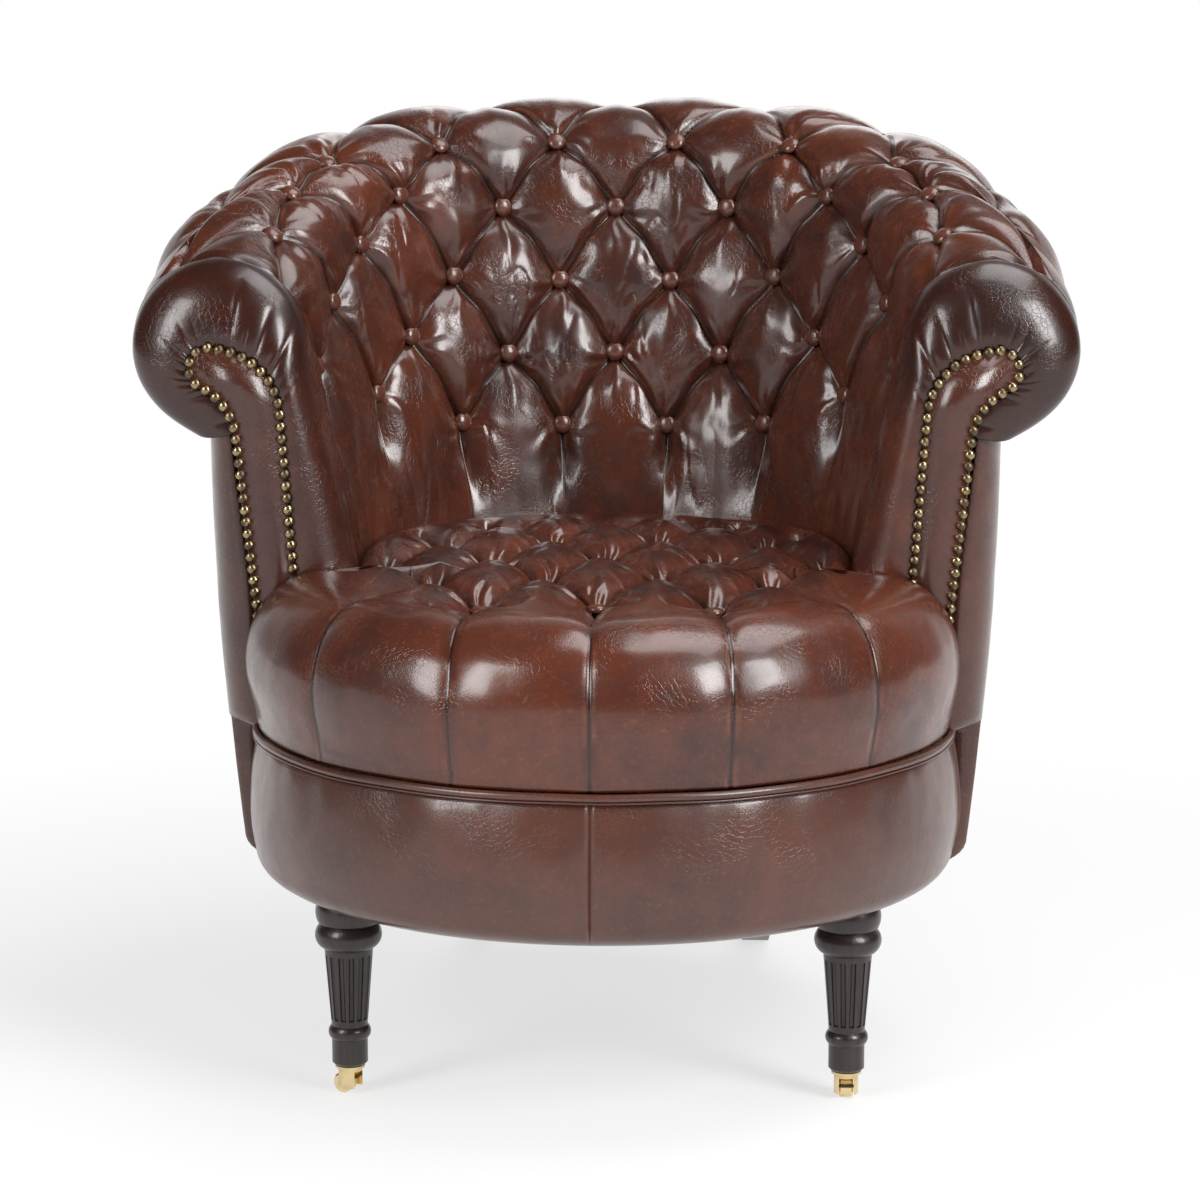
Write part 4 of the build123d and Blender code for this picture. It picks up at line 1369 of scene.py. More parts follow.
@dataclass
class Buttons:
    """Leather covered buttons on tub and seat."""

    lattice: Lattice
    radius: float = 9.2
    height: float = 6.4
    steps: int = 18
    rings: int = 5
    skirt: float = 1.6

    def build(self, finishes: Finishes, seat_places: list[Vector]) -> None:
        """Builds the tub's and the seat's buttons.

        Args:
            finishes: The chair's finishes.
            seat_places: Middle of each seat button's foot.
        """
        tub = [self.lattice.button_place(row, column) for row, column in self.lattice.buttons()]
        seat = [(centre, Vector((0, 0, 1))) for centre in seat_places]
        for word, places in (("tub", tub), ("seat", seat)):
            mesh = bmesh.new()
            for centre, normal in places:
                dome(mesh, centre, normal, self.radius, self.height, self.steps, self.rings, self.skirt)
            new_piece(
                f"{word}_button_set", mesh, finishes["button_hide"],
                replaced=(f"{word}_buttons",),
            )


@dataclass
class ScrollFront:
    """The flat facing of an arm and its line of domed nails."""

    line: ScrollLine
    side: Side
    thickness: float = 3.0
    nail_radius: float = 4.8
    nail_height: float = 3.7
    nail_pitch: float = 10.4
    nail_lowest: float = 372.0
    nail_steps: int = 12
    nail_rings: int = 4
    rim: float = 0.0042
    rises: tuple[tuple[float, float], ...] = ((0.0052, 0.0006), (0.003, 0.0009), (0.003, 0.0004))

    def build(self, finishes: Finishes) -> None:
        """Builds the facing and its nails.

        Args:
            finishes: The chair's finishes.
        """
        front = self.line.form.arm_front
        sign = self.side.value
        nails = bmesh.new()
        for place in self.line.resampled(self.nail_pitch):
            if place.y > self.nail_lowest:
                centre = Vector((sign * place.x, -front - self.thickness + 0.6, place.y))
                dome(
                    nails, centre, Vector((0, -1, 0)), self.nail_radius, self.nail_height,
                    self.nail_steps, self.nail_rings,
                )
        new_piece(
            f"nail_row_{self.side.word}", nails, finishes["nail_brass"],
            replaced=(f"facing_nails_{self.side.word}",),
        )
        pad = bmesh.new()
        outline = self.line.resampled(4.0)
        loop = [pad.verts.new(to_frame(np.array([sign * p.x, -front - 0.2, p.y]))) for p in outline]
        face = pad.faces.new(loop)
        bmesh.ops.inset_region(
            pad, faces=[face], thickness=-self.rim, use_even_offset=True, use_boundary=True
        )
        self.raise_pad(pad, face, sign)
        close_up(pad)
        piece = new_piece(
            f"scroll_facing_{self.side.word}", pad, finishes["facing_hide"],
            replaced=(f"facing_{self.side.word}",),
        )

    def raise_pad(self, pad: bmesh.types.BMesh, face: bmesh.types.BMFace, sign: int) -> None:
        """Raises the facing's face in soft steps from its nailed edge.

        Args:
            pad: The facing's mesh.
            face: Its first face.
            sign: The side's sign; not used.
        """
        for item in pad.faces:
            item.normal_update()
        if face.normal.y > 0:
            bmesh.ops.reverse_faces(pad, faces=pad.faces)
        grown = bmesh.ops.extrude_face_region(pad, geom=list(pad.faces))["geom"]
        top = [item for item in grown if isinstance(item, bmesh.types.BMVert)]
        bmesh.ops.translate(pad, verts=top, vec=(0, -(self.thickness - 0.8) * MM, 0))
        faces = [item for item in grown if isinstance(item, bmesh.types.BMFace)]
        for thickness, depth in self.rises:
            bmesh.ops.inset_region(
                pad, faces=faces, thickness=thickness, depth=depth, use_even_offset=True, use_boundary=True
            )


@dataclass
class SeatCushion:
    """The round seat, buttoned on top, with pleats down its front."""

    form: TubForm
    crown: float = 446.0
    shoulder: float = 431.0
    shoulder_radius: float = 250.0
    swell_radius: float = 315.0
    swell_height: float = 352.0
    foot_radius: float = 308.0
    foot: float = 304.0
    row_pitch: float = 78.0
    column_pitch: float = 98.0
    first_row: float = 158.0
    rows: int = 5
    limit: float = 205.0
    tuft_depth: float = 36.0
    pleat_depth: float = 22.0
    button_stand: float = 22.0
    rear_rise: float = 17.0
    puff: float = 9.5
    front_line: float = 57.6
    wall_radius: float = 222.0
    turn_steps: int = 600
    top_rings: int = 104
    side_rings: int = 46
    pleat_ends: tuple[tuple[float, float, float], ...] = (
        (0.0, -158.0, 0.0), (98.0, -158.0, 21.5), (-98.0, -158.0, -21.5),
        (147.0, -80.0, 48.0), (-147.0, -80.0, -48.0),
    )

    def button_places(self) -> list[tuple[float, float]]:
        """Where the buttons lie in plan.

        Returns:
            One pair a button.
        """
        places = []
        for row in range(self.rows):
            y = row * self.row_pitch - self.first_row
            for step in range(-2, 3):
                x = (step + (row % 2) / 2) * self.column_pitch
                if math.hypot(x, y) < self.limit:
                    places.append((x, y))
        return places

    def height(self, radius: Array) -> Array:
        """Height of the plain crown."""
        return self.crown - (self.crown - self.shoulder) * (radius / self.shoulder_radius) ** 2

    def rise(self, y: Array) -> Array:
        """How much higher the seat lies towards the back."""
        return self.rear_rise * smooth(y, -170.0, 170.0)

    def button_feet(self) -> list[Vector]:
        """Middle of each button's foot.

        Returns:
            One point a button.
        """
        feet = []
        for x, y in self.button_places():
            level = float(self.height(np.array(math.hypot(x, y))) + self.rise(np.array(y)))
            feet.append(Vector((x, y, level - self.tuft_depth + self.button_stand)))
        return feet

    def wall_limit(self, turn: Array) -> Array:
        """Radius of the padded wall at the seat's level, at an angle from the front.

        Args:
            turn: The angle in radians.

        Returns:
            The radius.
        """
        column = (180 - np.degrees(np.abs(turn))) * self.form.columns / 90
        share = self.form.arm_share(np.clip(column, 0, 8))
        foot = self.form.foot_back + (self.form.foot_arm - self.form.foot_back) * share
        return foot + 14.0

    def profile(self, share: Array, end: Array, front: Array) -> tuple[Array, Array]:
        """Radius and height of the plain cushion from its middle to its foot.

        Args:
            share: 0 at the middle, 1 where the top ends, 2 at the foot.
            end: Radius where a walled side ends.
            front: Whether the side is free.

        Returns:
            Radius and height.
        """
        top = np.clip(share, 0, 1)
        side = np.clip(share - 1, 0, 1)
        free_radius = np.where(share <= 1, self.shoulder_radius * top, 0.0)
        bend = np.clip(side / 0.62, 0, 1) * math.pi / 2
        width = self.swell_radius - self.shoulder_radius
        drop = self.shoulder - self.swell_height
        arc_radius = self.shoulder_radius + width * np.sin(bend) ** 0.92
        arc_height = self.shoulder - drop * (1 - np.cos(bend)) ** 0.98
        low = np.clip((side - 0.62) / 0.38, 0, 1)
        low_radius = self.swell_radius - (self.swell_radius - self.foot_radius) * low**1.8
        low_height = self.swell_height - (self.swell_height - self.foot) * low
        side_radius = np.where(side < 0.62, arc_radius, low_radius)
        side_height = np.where(side < 0.62, arc_height, low_height)
        radius = np.where(share <= 1, free_radius, side_radius)
        height = np.where(share <= 1, self.height(radius), side_height)
        round_end = end - 18
        walled_top = np.where(share <= 1, round_end * top, 0.0)
        bend = np.clip(side / 0.5, 0, 1) * math.pi / 2
        fall = np.clip((side - 0.5) / 0.5, 0, 1)
        walled_radius = np.where(side < 0.5, round_end + 18 * np.sin(bend), end - 12 * fall)
        level = self.height(round_end)
        bent = level - 22 * (1 - np.cos(bend))
        walled_height = np.where(side < 0.5, bent, level - 22 - (level - 22 - self.foot) * fall)
        walled_r = np.where(share <= 1, walled_top, walled_radius)
        walled_z = np.where(share <= 1, self.height(walled_top), walled_height)
        return np.where(front, radius, walled_r), np.where(front, height, walled_z)

    def rounding(self, near: Array) -> Array:
        """How far the leather has risen at a share of the way from pleat to middle."""
        return (1 - (1 - np.clip(near, 0, 1)) ** 2.3) ** 0.62

    def funnel(self, near: Array) -> Array:
        """How far the leather has risen on the broad slopes round a button."""
        return (1 - (1 - np.clip(near, 0, 1)) ** 2.0) ** 0.85

    def tufting(self, x: Array, y: Array) -> Array:
        """Depth of the buttoning in plan; keeps the pleats' own lines for the material.

        Args:
            x: Place across.
            y: Place to the back.

        Returns:
            Depth in millimetres.
        """
        column = x / (self.column_pitch / 2)
        row = (y + self.first_row) / self.row_pitch
        self.weft, self.warp = column + row, row - column
        signed_first, signed_second = self.weft % 2 - 1, self.warp % 2 - 1
        first, second = 1 - np.abs(signed_first), 1 - np.abs(signed_second)
        steep = 0.72 + 0.3 * (signed_first + signed_second) / 2
        bound = np.full_like(x, 1e6)
        total = np.zeros_like(x)
        for index, (bx, by) in enumerate(self.button_places()):
            dx, dy = x - bx, y - by
            far = np.hypot(dx, dy)
            bound = np.minimum(bound, np.hypot(dx, dy * 0.75))
            turn = np.arctan2(dx, dy) + 0.2 * np.sin(far / 11 + index)
            folds = np.cos(turn * 9 + index * 2.7) + 0.6 * np.cos(turn * 14 + index * 4.1)
            strength = np.exp(-(((far - 17) / 19) ** 2)) * np.clip(far / 10, 0, 1)
            total += folds * strength * (1.5 + 1.2 * np.clip(np.cos(turn), 0, 1))
        inside = 1 - smooth(bound, 34.0, 60.0)
        # Painted shade: marks the puffs' crowns to be darkened in the leather's colour.
        self.crowned = smooth(np.minimum(first, second), 0.15, 0.7) * inside
        self.weft = self.weft + (0.5 - (self.weft % 1)) * (1 - inside)
        self.warp = self.warp + (0.5 - (self.warp % 1)) * (1 - inside)

        def along(share: Array) -> Array:
            """Depth along a pleat, deepest at its buttons."""
            return self.pleat_depth + (self.tuft_depth - self.pleat_depth) * (1 - share) ** 1.8

        one = along(second) * (1 - (1 - (1 - first) ** 2.1) ** steep)
        two = along(first) * (1 - (1 - (1 - second) ** 2.1) ** steep)
        depth = (one**4 + two**4) ** 0.25 * inside
        button = np.maximum(0.0, self.tuft_depth * (1 - self.funnel(bound / 49)))
        return np.maximum(depth, button) + total * np.clip(np.minimum(first, second) / 0.2, 0, 1)

    def border_pleats(self, x: Array, y: Array, share: Array) -> Array:
        """Depth of the pleats from the outer buttons to the welt; keeps their lines for the material.

        Args:
            x: Place across.
            y: Place to the back.
            share: Share of the way to the foot.

        Returns:
            Depth in millimetres.
        """
        total = np.zeros_like(x)
        radius = np.hypot(x, y)
        turns = []
        for bx, by, degrees in sorted(self.pleat_ends, key=lambda end: end[2]):
            turn = math.radians(degrees)
            dx, dy = math.sin(turn) * self.foot_radius - bx, -math.cos(turn) * self.foot_radius - by
            square = dx * dx + dy * dy
            dot = bx * dx + by * dy
            root = np.sqrt(np.maximum(dot * dot - square * (bx * bx + by * by - radius**2), 0.0))
            part = np.clip((root - dot) / square, 0, None)
            turns.append(np.arctan2(bx + dx * part, -(by + dy * part)))
            length = math.sqrt(square)
            ux, uy = dx / length, dy / length
            along = np.clip(((x - bx) * ux + (y - by) * uy) / length, 0, 1)
            beside = np.abs((x - bx) * uy - (y - by) * ux)
            ahead = smooth((x - bx) * ux + (y - by) * uy, -6.0, 6.0)
            strength = (31.0 * (1 - along) ** 2.2 + 4.2) * (1 - 0.55 * smooth(share, 1.35, 2.0))
            crisp = smooth(along, 0.1, 0.6)
            broad = (1 - self.funnel(beside / 47.0)) * (1 - crisp)
            slope = (1 - self.rounding(beside / 40.0)) * crisp + broad
            total = np.maximum(total, strength * slope * ahead)
        here = np.arctan2(x, -y)
        fan = np.clip(-(turns[0] - here) / 0.42, -0.5, 0)
        for first, second in zip(turns, turns[1:]):
            fan = fan + np.clip((here - first) / np.maximum(second - first, 0.05), 0, 1)
        fan = fan + np.clip((here - turns[-1]) / 0.42, 0, 0.5)
        start = smooth(radius, 168.0, 184.0)
        self.fan = 2 * (fan * start + 0.5 * (1 - start))
        return total

    def place(self, across: Array, up: Array) -> Array:
        """Points of the whole cushion.

        Args:
            across: Steps round it.
            up: Steps from its middle down.

        Returns:
            One point a row.
        """
        turn = (across / self.turn_steps * 2 - 1) * math.pi
        down = 1 + (up - self.top_rings) / self.side_rings
        share = np.where(up <= self.top_rings, up / self.top_rings, down)
        under = share > 2
        share = np.clip(share, 0, 2)
        corner = math.acos(self.front_line / self.wall_radius)
        front = np.abs(turn) <= corner
        radius, height = self.profile(share, self.wall_limit(turn), front)
        fan = np.arccos(np.clip(self.front_line / np.maximum(radius, 1.0), 0, 1)) / corner
        turned = np.where(front & (radius > self.wall_radius), turn * fan, turn)
        x, y = np.sin(turned) * radius, -np.cos(turned) * radius
        depth = self.tufting(x, y)
        pleats = self.border_pleats(x, y, share)
        free = smooth(-y, 20.0, 90.0)
        on_top = 1 - smooth(share, 0.96, 1.1)
        puff = self.puff * (1 - smooth(share, 1.25, 1.9)) * (0.55 + 0.45 * free)
        total = np.maximum(depth * on_top, pleats * free) - puff * smooth(share, 0.0, 0.1)
        total = np.where(under | (share > 1.97), 0.0, total)
        self.plain = 1 - on_top
        swell = rough(np.stack([x, y, height], axis=-1), 80.0, 5.0) * 1.8
        swell += rough(np.stack([x, y, height], axis=-1), 26.0, 15.0) * 0.6
        total = total - swell * (share < 1.9) * ~under
        lean = smooth(share, 1.0, 1.62) * math.pi / 2
        lean = np.where(front, lean, smooth(share, 1.0, 1.5) * math.pi / 2)
        radial = np.stack([np.sin(turned), -np.cos(turned)], axis=-1)
        out = np.sin(lean) * total
        flat = np.stack([x, y], axis=-1) - radial * out[:, None]
        height = height - np.cos(lean) * total + self.rise(y) * (1 - smooth(share, 1.0, 1.9)) * ~under
        inward = np.where(under, 0.0, 1.0)
        return np.stack([flat[:, 0] * inward, flat[:, 1] * inward, height], axis=-1)

    def build(self, finishes: Finishes) -> bpy.types.Object:
        """Builds the cushion.

        Args:
            finishes: The chair's finishes.

        Returns:
            The padded piece.
        """
        mesh = mapped_grid(self.turn_steps, self.top_rings + self.side_rings + 1, self.place)
        lines = {
            "weft": self.weft * (1 - self.plain) + 0.5 * self.plain,
            "warp": self.warp * (1 - self.plain) + 0.5 * self.plain,
            "fan": self.fan,
            # Painted shade on the puffs' crowns.
            "darkened": 0.8 * self.crowned * (1 - self.plain),
        }
        for name, values in lines.items():
            layer = mesh.verts.layers.float.new(name)
            for vertex, value in zip(mesh.verts, values):
                vertex[layer] = float(value)
        close_up(mesh)
        piece = new_piece(
            "seat_cushion", mesh, finishes["seat_hide"], replaced=("seat_cover", "seat_core")
        )
        return piece


@dataclass
class Drum:
    """The leather band round the front, its piping and the cloth under the frame."""

    radius: float = 308.0
    swell: float = 9.0
    swell_height: float = 232.0
    low_swell: float = 4.5
    bottom: float = 172.0
    foot_round: float = 22.0
    foot_radius: float = 284.0
    top: float = 297.0
    welt_height: float = 300.0
    welt_radius: float = 3.5
    leather: float = 3.5
    turn_steps: int = 96
    rail_room: float = 3.0
    piping_sides: int = 12
    piping_sunk: float = 1.2
    piping_ahead: float = 6.5
    piping_steps: int = 140
    cloth_radius: float = 279.0
    cloth_steps: tuple[int, int] = (96, 20)
    strap_top: float = 296.5
    strap_reach: float = 250.0
    strap_width: float = 50.0
    strap_pitch: float = 84.0

    def side_line(self) -> list[tuple[float, float]]:
        """Radius and height of the band from the welt to the underside.

        Returns:
            One pair a step.
        """
        line = []
        for step in range(15):
            share = step / 14
            height = self.top + (self.bottom + self.foot_round - self.top) * share
            blend = share * (self.radius + self.low_swell) + (1 - share) * self.radius
            middle = (self.top - self.swell_height) / (self.top - self.bottom - self.foot_round)
            plump = 1 - ((share - middle) / (1 - middle if share > middle else middle)) ** 2
            line.append((blend + (self.swell - self.low_swell * middle) * plump, height))
        low_radius, low_height = line[-1]
        for step in range(1, 9):
            turn = step / 8 * math.pi / 2
            line.append(
                (low_radius - (low_radius - self.foot_radius) * (1 - math.cos(turn)),
                 low_height - self.foot_round * math.sin(turn))
            )
        return line

    def side_at(self, up: Array) -> tuple[Array, Array]:
        """Radius and height of the band at its rows."""
        radii, heights = zip(*self.side_line())
        return np.interp(up, range(len(radii)), radii), np.interp(up, range(len(heights)), heights)

    def band(self, finishes: Finishes, side: Side) -> None:
        """Builds one half of the band, which meets the other in front.

        Args:
            finishes: The chair's finishes.
            side: The side that it is for.
        """
        line = self.side_line()

        def place(across: Array, up: Array) -> Array:
            """Points of the half band, from its seam in front and down from the welt.

            Args:
                across: Steps across.
                up: Steps up.

            Returns:
                One point a row.
            """
            share = across / self.turn_steps
            turn = share * math.pi / 2
            radius, height = self.side_at(up)
            seam = np.exp(-share * self.turn_steps / 1.6)
            tuck = np.exp(-up / 0.9) * 1.2
            points = np.stack([np.sin(turn) * radius, -np.cos(turn) * radius, height], axis=-1)
            puckers = rough(points * (1, 1, 0.3), 26.0, 4.0) * np.exp(-up / 3.0) * 2.4
            pulls = rough(points * (1, 1, 0.2), 34.0, 17.0) * np.exp(-(((up - 3.5) / 3.0) ** 2)) * 1.6
            ends = 3.0 * smooth(share, 0.93, 1.0)
            swell = rough(points, 90.0, 8.0) * 1.4 + puckers + pulls - 2.2 * seam - tuck - ends
            swell = np.maximum(swell, -self.rail_room)
            radius = radius + swell * (1 - smooth(up, len(line) - 8.0, len(line) - 2.0))
            return np.stack([side.value * np.sin(turn) * radius, -np.cos(turn) * radius, height], axis=-1)

        mesh = mapped_grid(self.turn_steps, len(line) - 1, place)
        bmesh.ops.recalc_face_normals(mesh, faces=mesh.faces)
        outward = mesh.faces[:][0]
        if outward.normal.dot(outward.calc_center_median()) < 0:
            bmesh.ops.reverse_faces(mesh, faces=mesh.faces)
        piece = new_piece(
            f"band_{side.word}", mesh, finishes["band_hide"],
            replaced=(f"front_band_{side.word}",),
        )
        wall = piece.modifiers.new("leather", "SOLIDIFY")
        wall.thickness = self.leather * MM
        wall.offset = -1

    def piping(self, finishes: Finishes) -> None:
        """Builds the piping round the front and the line of stitches at its foot.

        Args:
            finishes: The chair's finishes.
        """
        mesh = bmesh.new()
        welt = (self.welt_radius, self.radius + 2.2, self.welt_height)
        stitches = (0.8, self.radius + 4.6, self.welt_height - self.welt_radius - 0.6)
        for radius, out, height in (welt, stitches):
            ring = bmesh.ops.create_circle(mesh, segments=14, radius=radius * MM)["verts"]
            place = Matrix.Translation((-out * MM, -SET_BACK * MM, height * MM))
            place = place @ Matrix.Rotation(math.pi / 2, 4, "X")
            bmesh.ops.transform(mesh, matrix=place, verts=ring)
            edges = list({edge for vertex in ring for edge in vertex.link_edges})
            bmesh.ops.spin(
                mesh, geom=edges, cent=(0, -SET_BACK * MM, 0), axis=(0, 0, 1), angle=math.pi,
                steps=self.piping_steps,
            )
        for vertex in mesh.verts:
            vertex.co.z += noise.noise(vertex.co * 14) * 0.0012
        close_up(mesh)
        new_piece("seat_piping", mesh, finishes["band_hide"], replaced=("seat_welt",))

    def arm_piping(self, finishes: Finishes, side: Side) -> None:
        """Builds the upright piping where the band meets the outside of the arm.

        Args:
            finishes: The chair's finishes.
            side: The side that it is for.
        """

        def place(across: Array, up: Array) -> Array:
            """Points of the piping, round it and down the band's line.

            Args:
                across: Steps across.
                up: Steps up.

            Returns:
                One point a row.
            """
            turn = across / self.piping_sides * math.tau
            radius, height = self.side_at(up)
            out = radius - self.piping_sunk + self.welt_radius * np.cos(turn)
            y = self.welt_radius * np.sin(turn) - self.piping_ahead
            return np.stack([side.value * out, y, height], axis=-1)

        mesh = mapped_grid(self.piping_sides, len(self.side_line()) - 1, place)
        close_up(mesh)
        new_piece(f"arm_piping_{side.word}", mesh, finishes["band_hide"],
                  replaced=(f"arm_welt_{side.word}",))

    def under_cloth(self, finishes: Finishes) -> None:
        """Builds the cloth tacked under the frame.

        Args:
            finishes: The chair's finishes.
        """
        box_low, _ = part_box("dust_cover")
        around, rings = self.cloth_steps

        def place(across: Array, up: Array) -> Array:
            """Points of the cloth, which sags a little to its middle.

            Args:
                across: Steps across.
                up: Steps up.

            Returns:
                One point a row.
            """
            turn = across / around * math.tau
            radius = up / rings * self.cloth_radius
            sag = -2.2 * (1 - (up / rings) ** 2)
            points = np.stack([np.sin(turn) * radius, np.cos(turn) * radius, 0 * turn], axis=-1)
            ripple = rough(points, 45.0, 2.0) * 0.8 * (up < rings)
            return np.stack([points[:, 0], points[:, 1], box_low.z / MM + 0.4 + sag + ripple], axis=-1)

        mesh = mapped_grid(around, rings, place)
        bmesh.ops.remove_doubles(mesh, verts=mesh.verts, dist=FLAT)
        bmesh.ops.recalc_face_normals(mesh, faces=mesh.faces)
        piece = new_piece("under_cloth", mesh, finishes["canvas"], replaced=("dust_cover",))
        wall = piece.modifiers.new("cloth", "SOLIDIFY")
        wall.thickness = 0.0008

    def straps(self, finishes: Finishes) -> None:
        """Builds the webbing straps across the frame.

        Args:
            finishes: The chair's finishes.
        """
        mesh = bmesh.new()
        width, pitch = self.strap_width, self.strap_pitch
        for layer in range(2):
            for index in range(5):
                offset = (index - 2) * pitch
                edge = abs(offset) + width / 2
                half = math.sqrt(self.strap_reach**2 - edge**2)
                made = bmesh.ops.create_grid(mesh, x_segments=40, y_segments=4, size=1.0)["verts"]
                for vertex in made:
                    along, beside = vertex.co.x * half, vertex.co.y * width / 2 + offset
                    wave = math.cos((along + layer * pitch) * math.pi / pitch + index * math.pi) * 0.8
                    x, y = (along, beside) if layer == 0 else (beside, along)
                    height = self.strap_top + 1.6 + layer * 0.4 + wave
                    vertex.co = (x * MM, (y - SET_BACK) * MM, height * MM)
        bmesh.ops.recalc_face_normals(mesh, faces=mesh.faces)
        piece = new_piece("web_straps", mesh, finishes["canvas"], replaced=("webbing",))
        wall = piece.modifiers.new("strap", "SOLIDIFY")
        wall.thickness = 0.0014


@dataclass
class OutsidePanel:
    """The plain leather outside of the back or of one arm."""

    form: TubForm
    line: ScrollLine
    low_radius: float = 326.0
    under_radius: float = 296.0
    bottom: float = 172.0
    foot_round: float = 22.0
    shell_offset: float = 12.0
    shoulder: float = 550.0
    bulge: float = 4.5
    core_radius: float = 42.0
    front: float = 50.5
    band_end: float = 4.5
    round_start: float = 24.0
    round_reach: float = 335.0
    seat_foot: float = 304.0
    band_radius: float = 308.0
    leather: float = 3.5
    steps: int = 16
    rows: int = 64
    corner_steps: int = 12
    front_steps: int = 30
    seam_row: int = 22

    def place(self, column: Array, forward: Array, share: Array) -> Array:
        """Points of the shell's face.

        Args:
            column: Lattice column.
            forward: Length ahead of the round part.
            share: 0 at the underside, 1 at the top.

        Returns:
            Points in millimetres.
        """
        top_height = self.form.roll_height(column, forward) - self.core_radius
        top_reach = self.form.roll_reach(column) + self.shell_offset
        turn = np.clip(share / 0.1, 0, 1) * math.pi / 2
        low, under = self.low_radius, self.under_radius
        corner_radius = under + (low - under) * np.sin(turn)
        corner_height = self.bottom + self.foot_round * (1 - np.cos(turn))
        rest = np.clip((share - 0.1) / 0.9, 0, 1)
        height = self.bottom + self.foot_round + (top_height - self.bottom - self.foot_round) * rest
        rise = self.shoulder - self.bottom - self.foot_round
        lean = np.clip((height - self.bottom - self.foot_round) / rise, 0, 1)
        reach = low + (top_reach - low) * lean + self.bulge * 4 * lean * (1 - lean)
        reach = np.where(share < 0.1, corner_radius, reach)
        height = np.where(share < 0.1, corner_height, height)
        return self.form.at(column, forward, reach, height)

    def dress(self, mesh: bmesh.types.BMesh, name: str, replaced: str, finishes: Finishes) -> None:
        """Finishes a panel's mesh with its thickness.

        Args:
            mesh: The panel's face.
            name: The piece's name.
            replaced: The frame node that it stands for.
            finishes: The chair's finishes.
        """
        bmesh.ops.remove_doubles(mesh, verts=mesh.verts, dist=WELD)
        bmesh.ops.dissolve_degenerate(mesh, dist=FLAT, edges=mesh.edges)
        bmesh.ops.recalc_face_normals(mesh, faces=mesh.faces)
        total = 0.0
        for face in mesh.faces:
            middle = face.calc_center_median()
            total += face.normal.dot(Vector((middle.x, middle.y, 0))) * face.calc_area()
        if total < 0:
            bmesh.ops.reverse_faces(mesh, faces=mesh.faces)
        piece = new_piece(name, mesh, finishes["outer_hide"], replaced=(replaced,))
        wall = piece.modifiers.new("leather", "SOLIDIFY")
        wall.thickness = self.leather * MM
        wall.offset = -1

    def back(self, finishes: Finishes) -> None:
        """Builds the outside of the back.

        Args:
            finishes: The chair's finishes.
        """
        width = 8 * self.steps

        def place(across: Array, up: Array) -> Array:
            """Points of the panel between its two seams.

            Args:
                across: Steps across.
                up: Steps up.

            Returns:
                One point a row.
            """
            column = across / self.steps - 4
            points = self.place(column, 0 * column, up / self.rows)
            seam = np.exp(-np.minimum(across, width - across) / 0.8) * 1.8
            return self.wave(points, column, seam)

        self.dress(mapped_grid(width, self.rows, place), "outside_back_panel", "outside_back", finishes)

    def wave(self, points: Array, column: Array, seam: Array) -> Array:
        """Gives a panel its slight unevenness and its drawn-in seam.

        Args:
            points: The plain panel.
            column: Lattice column.
            seam: How deep the seam draws it in.

        Returns:
            The moved points.
        """
        turn = np.radians(np.clip(column, -8, 8) * 90 / 8)
        swell = rough(points, 110.0, 6.0) * 1.6 + rough(points, 35.0, 7.0) * 0.4 - seam
        way = np.stack([np.sin(turn), np.cos(turn), 0 * turn], axis=-1)
        return points + way * swell[:, None]

    def share_up(self, up: Array, column: Array, forward: Array) -> Array:
        """Share of the way up of an arm panel's row, with a pair of rows behind the band's piping.

        Args:
            up: Steps up.
            column: Lattice column.
            forward: Length ahead of the round part.

        Returns:
            0 at the underside, 1 at the top.
        """
        low = self.bottom + self.foot_round
        top = self.form.roll_height(column, forward) - self.core_radius
        seam = 0.1 + 0.9 * (self.seat_foot - 5.0 - low) / (top - low)
        below = (seam - 0.001) * up / self.seam_row
        above = seam + (1 - seam) * (up - self.seam_row - 1) / (self.rows - self.seam_row - 1)
        return np.where(up <= self.seam_row, below, above)

    def nail_edge(self, height: Array) -> Array:
        """How far out a panel's front edge lies beside the nails.

        Args:
            height: Height over the floor.

        Returns:
            The length out.
        """
        head = self.line.centre()[0] - 0.25 * self.form.roll_radius
        share = np.clip((height - self.line.foot) / 230.0, 0, 1.2)
        return self.line.outer_foot + (head - self.line.outer_foot) * share + 5.5

    def turned_in(self, points: Array, above: Array) -> Array:
        """How far out an arm's panel lies once turned in to the band below and to the nails above.

        Args:
            points: The plain panel.
            above: Whether a point lies over the band.

        Returns:
            The length out.
        """
        y = points[:, 1]

        def turn_in(ahead: float, length: float) -> Array:
            """How far the leather has turned in over a length before an edge."""
            near = np.clip((y + ahead) / length, 0, 1)
            return 1 - (1 - (1 - near) ** 2) ** 0.6

        low = turn_in(self.band_end, 6.0)
        high = turn_in(self.front, self.front)
        band = np.sqrt(self.band_radius**2 - np.clip(-y, 0, None) ** 2) + 1.0
        hugging = points[:, 0] * (1 - low) + band * low
        nailed = points[:, 0] * (1 - high) + self.nail_edge(points[:, 2]) * high
        return np.where(above, nailed, hugging)

    def arm(self, finishes: Finishes, side: Side) -> None:
        """Builds the outside of one arm, turned in at its front to the band and the nails.

        Args:
            finishes: The chair's finishes.
            side: The side that it is for.
        """
        width = 4 * self.steps
        round_start = self.round_start

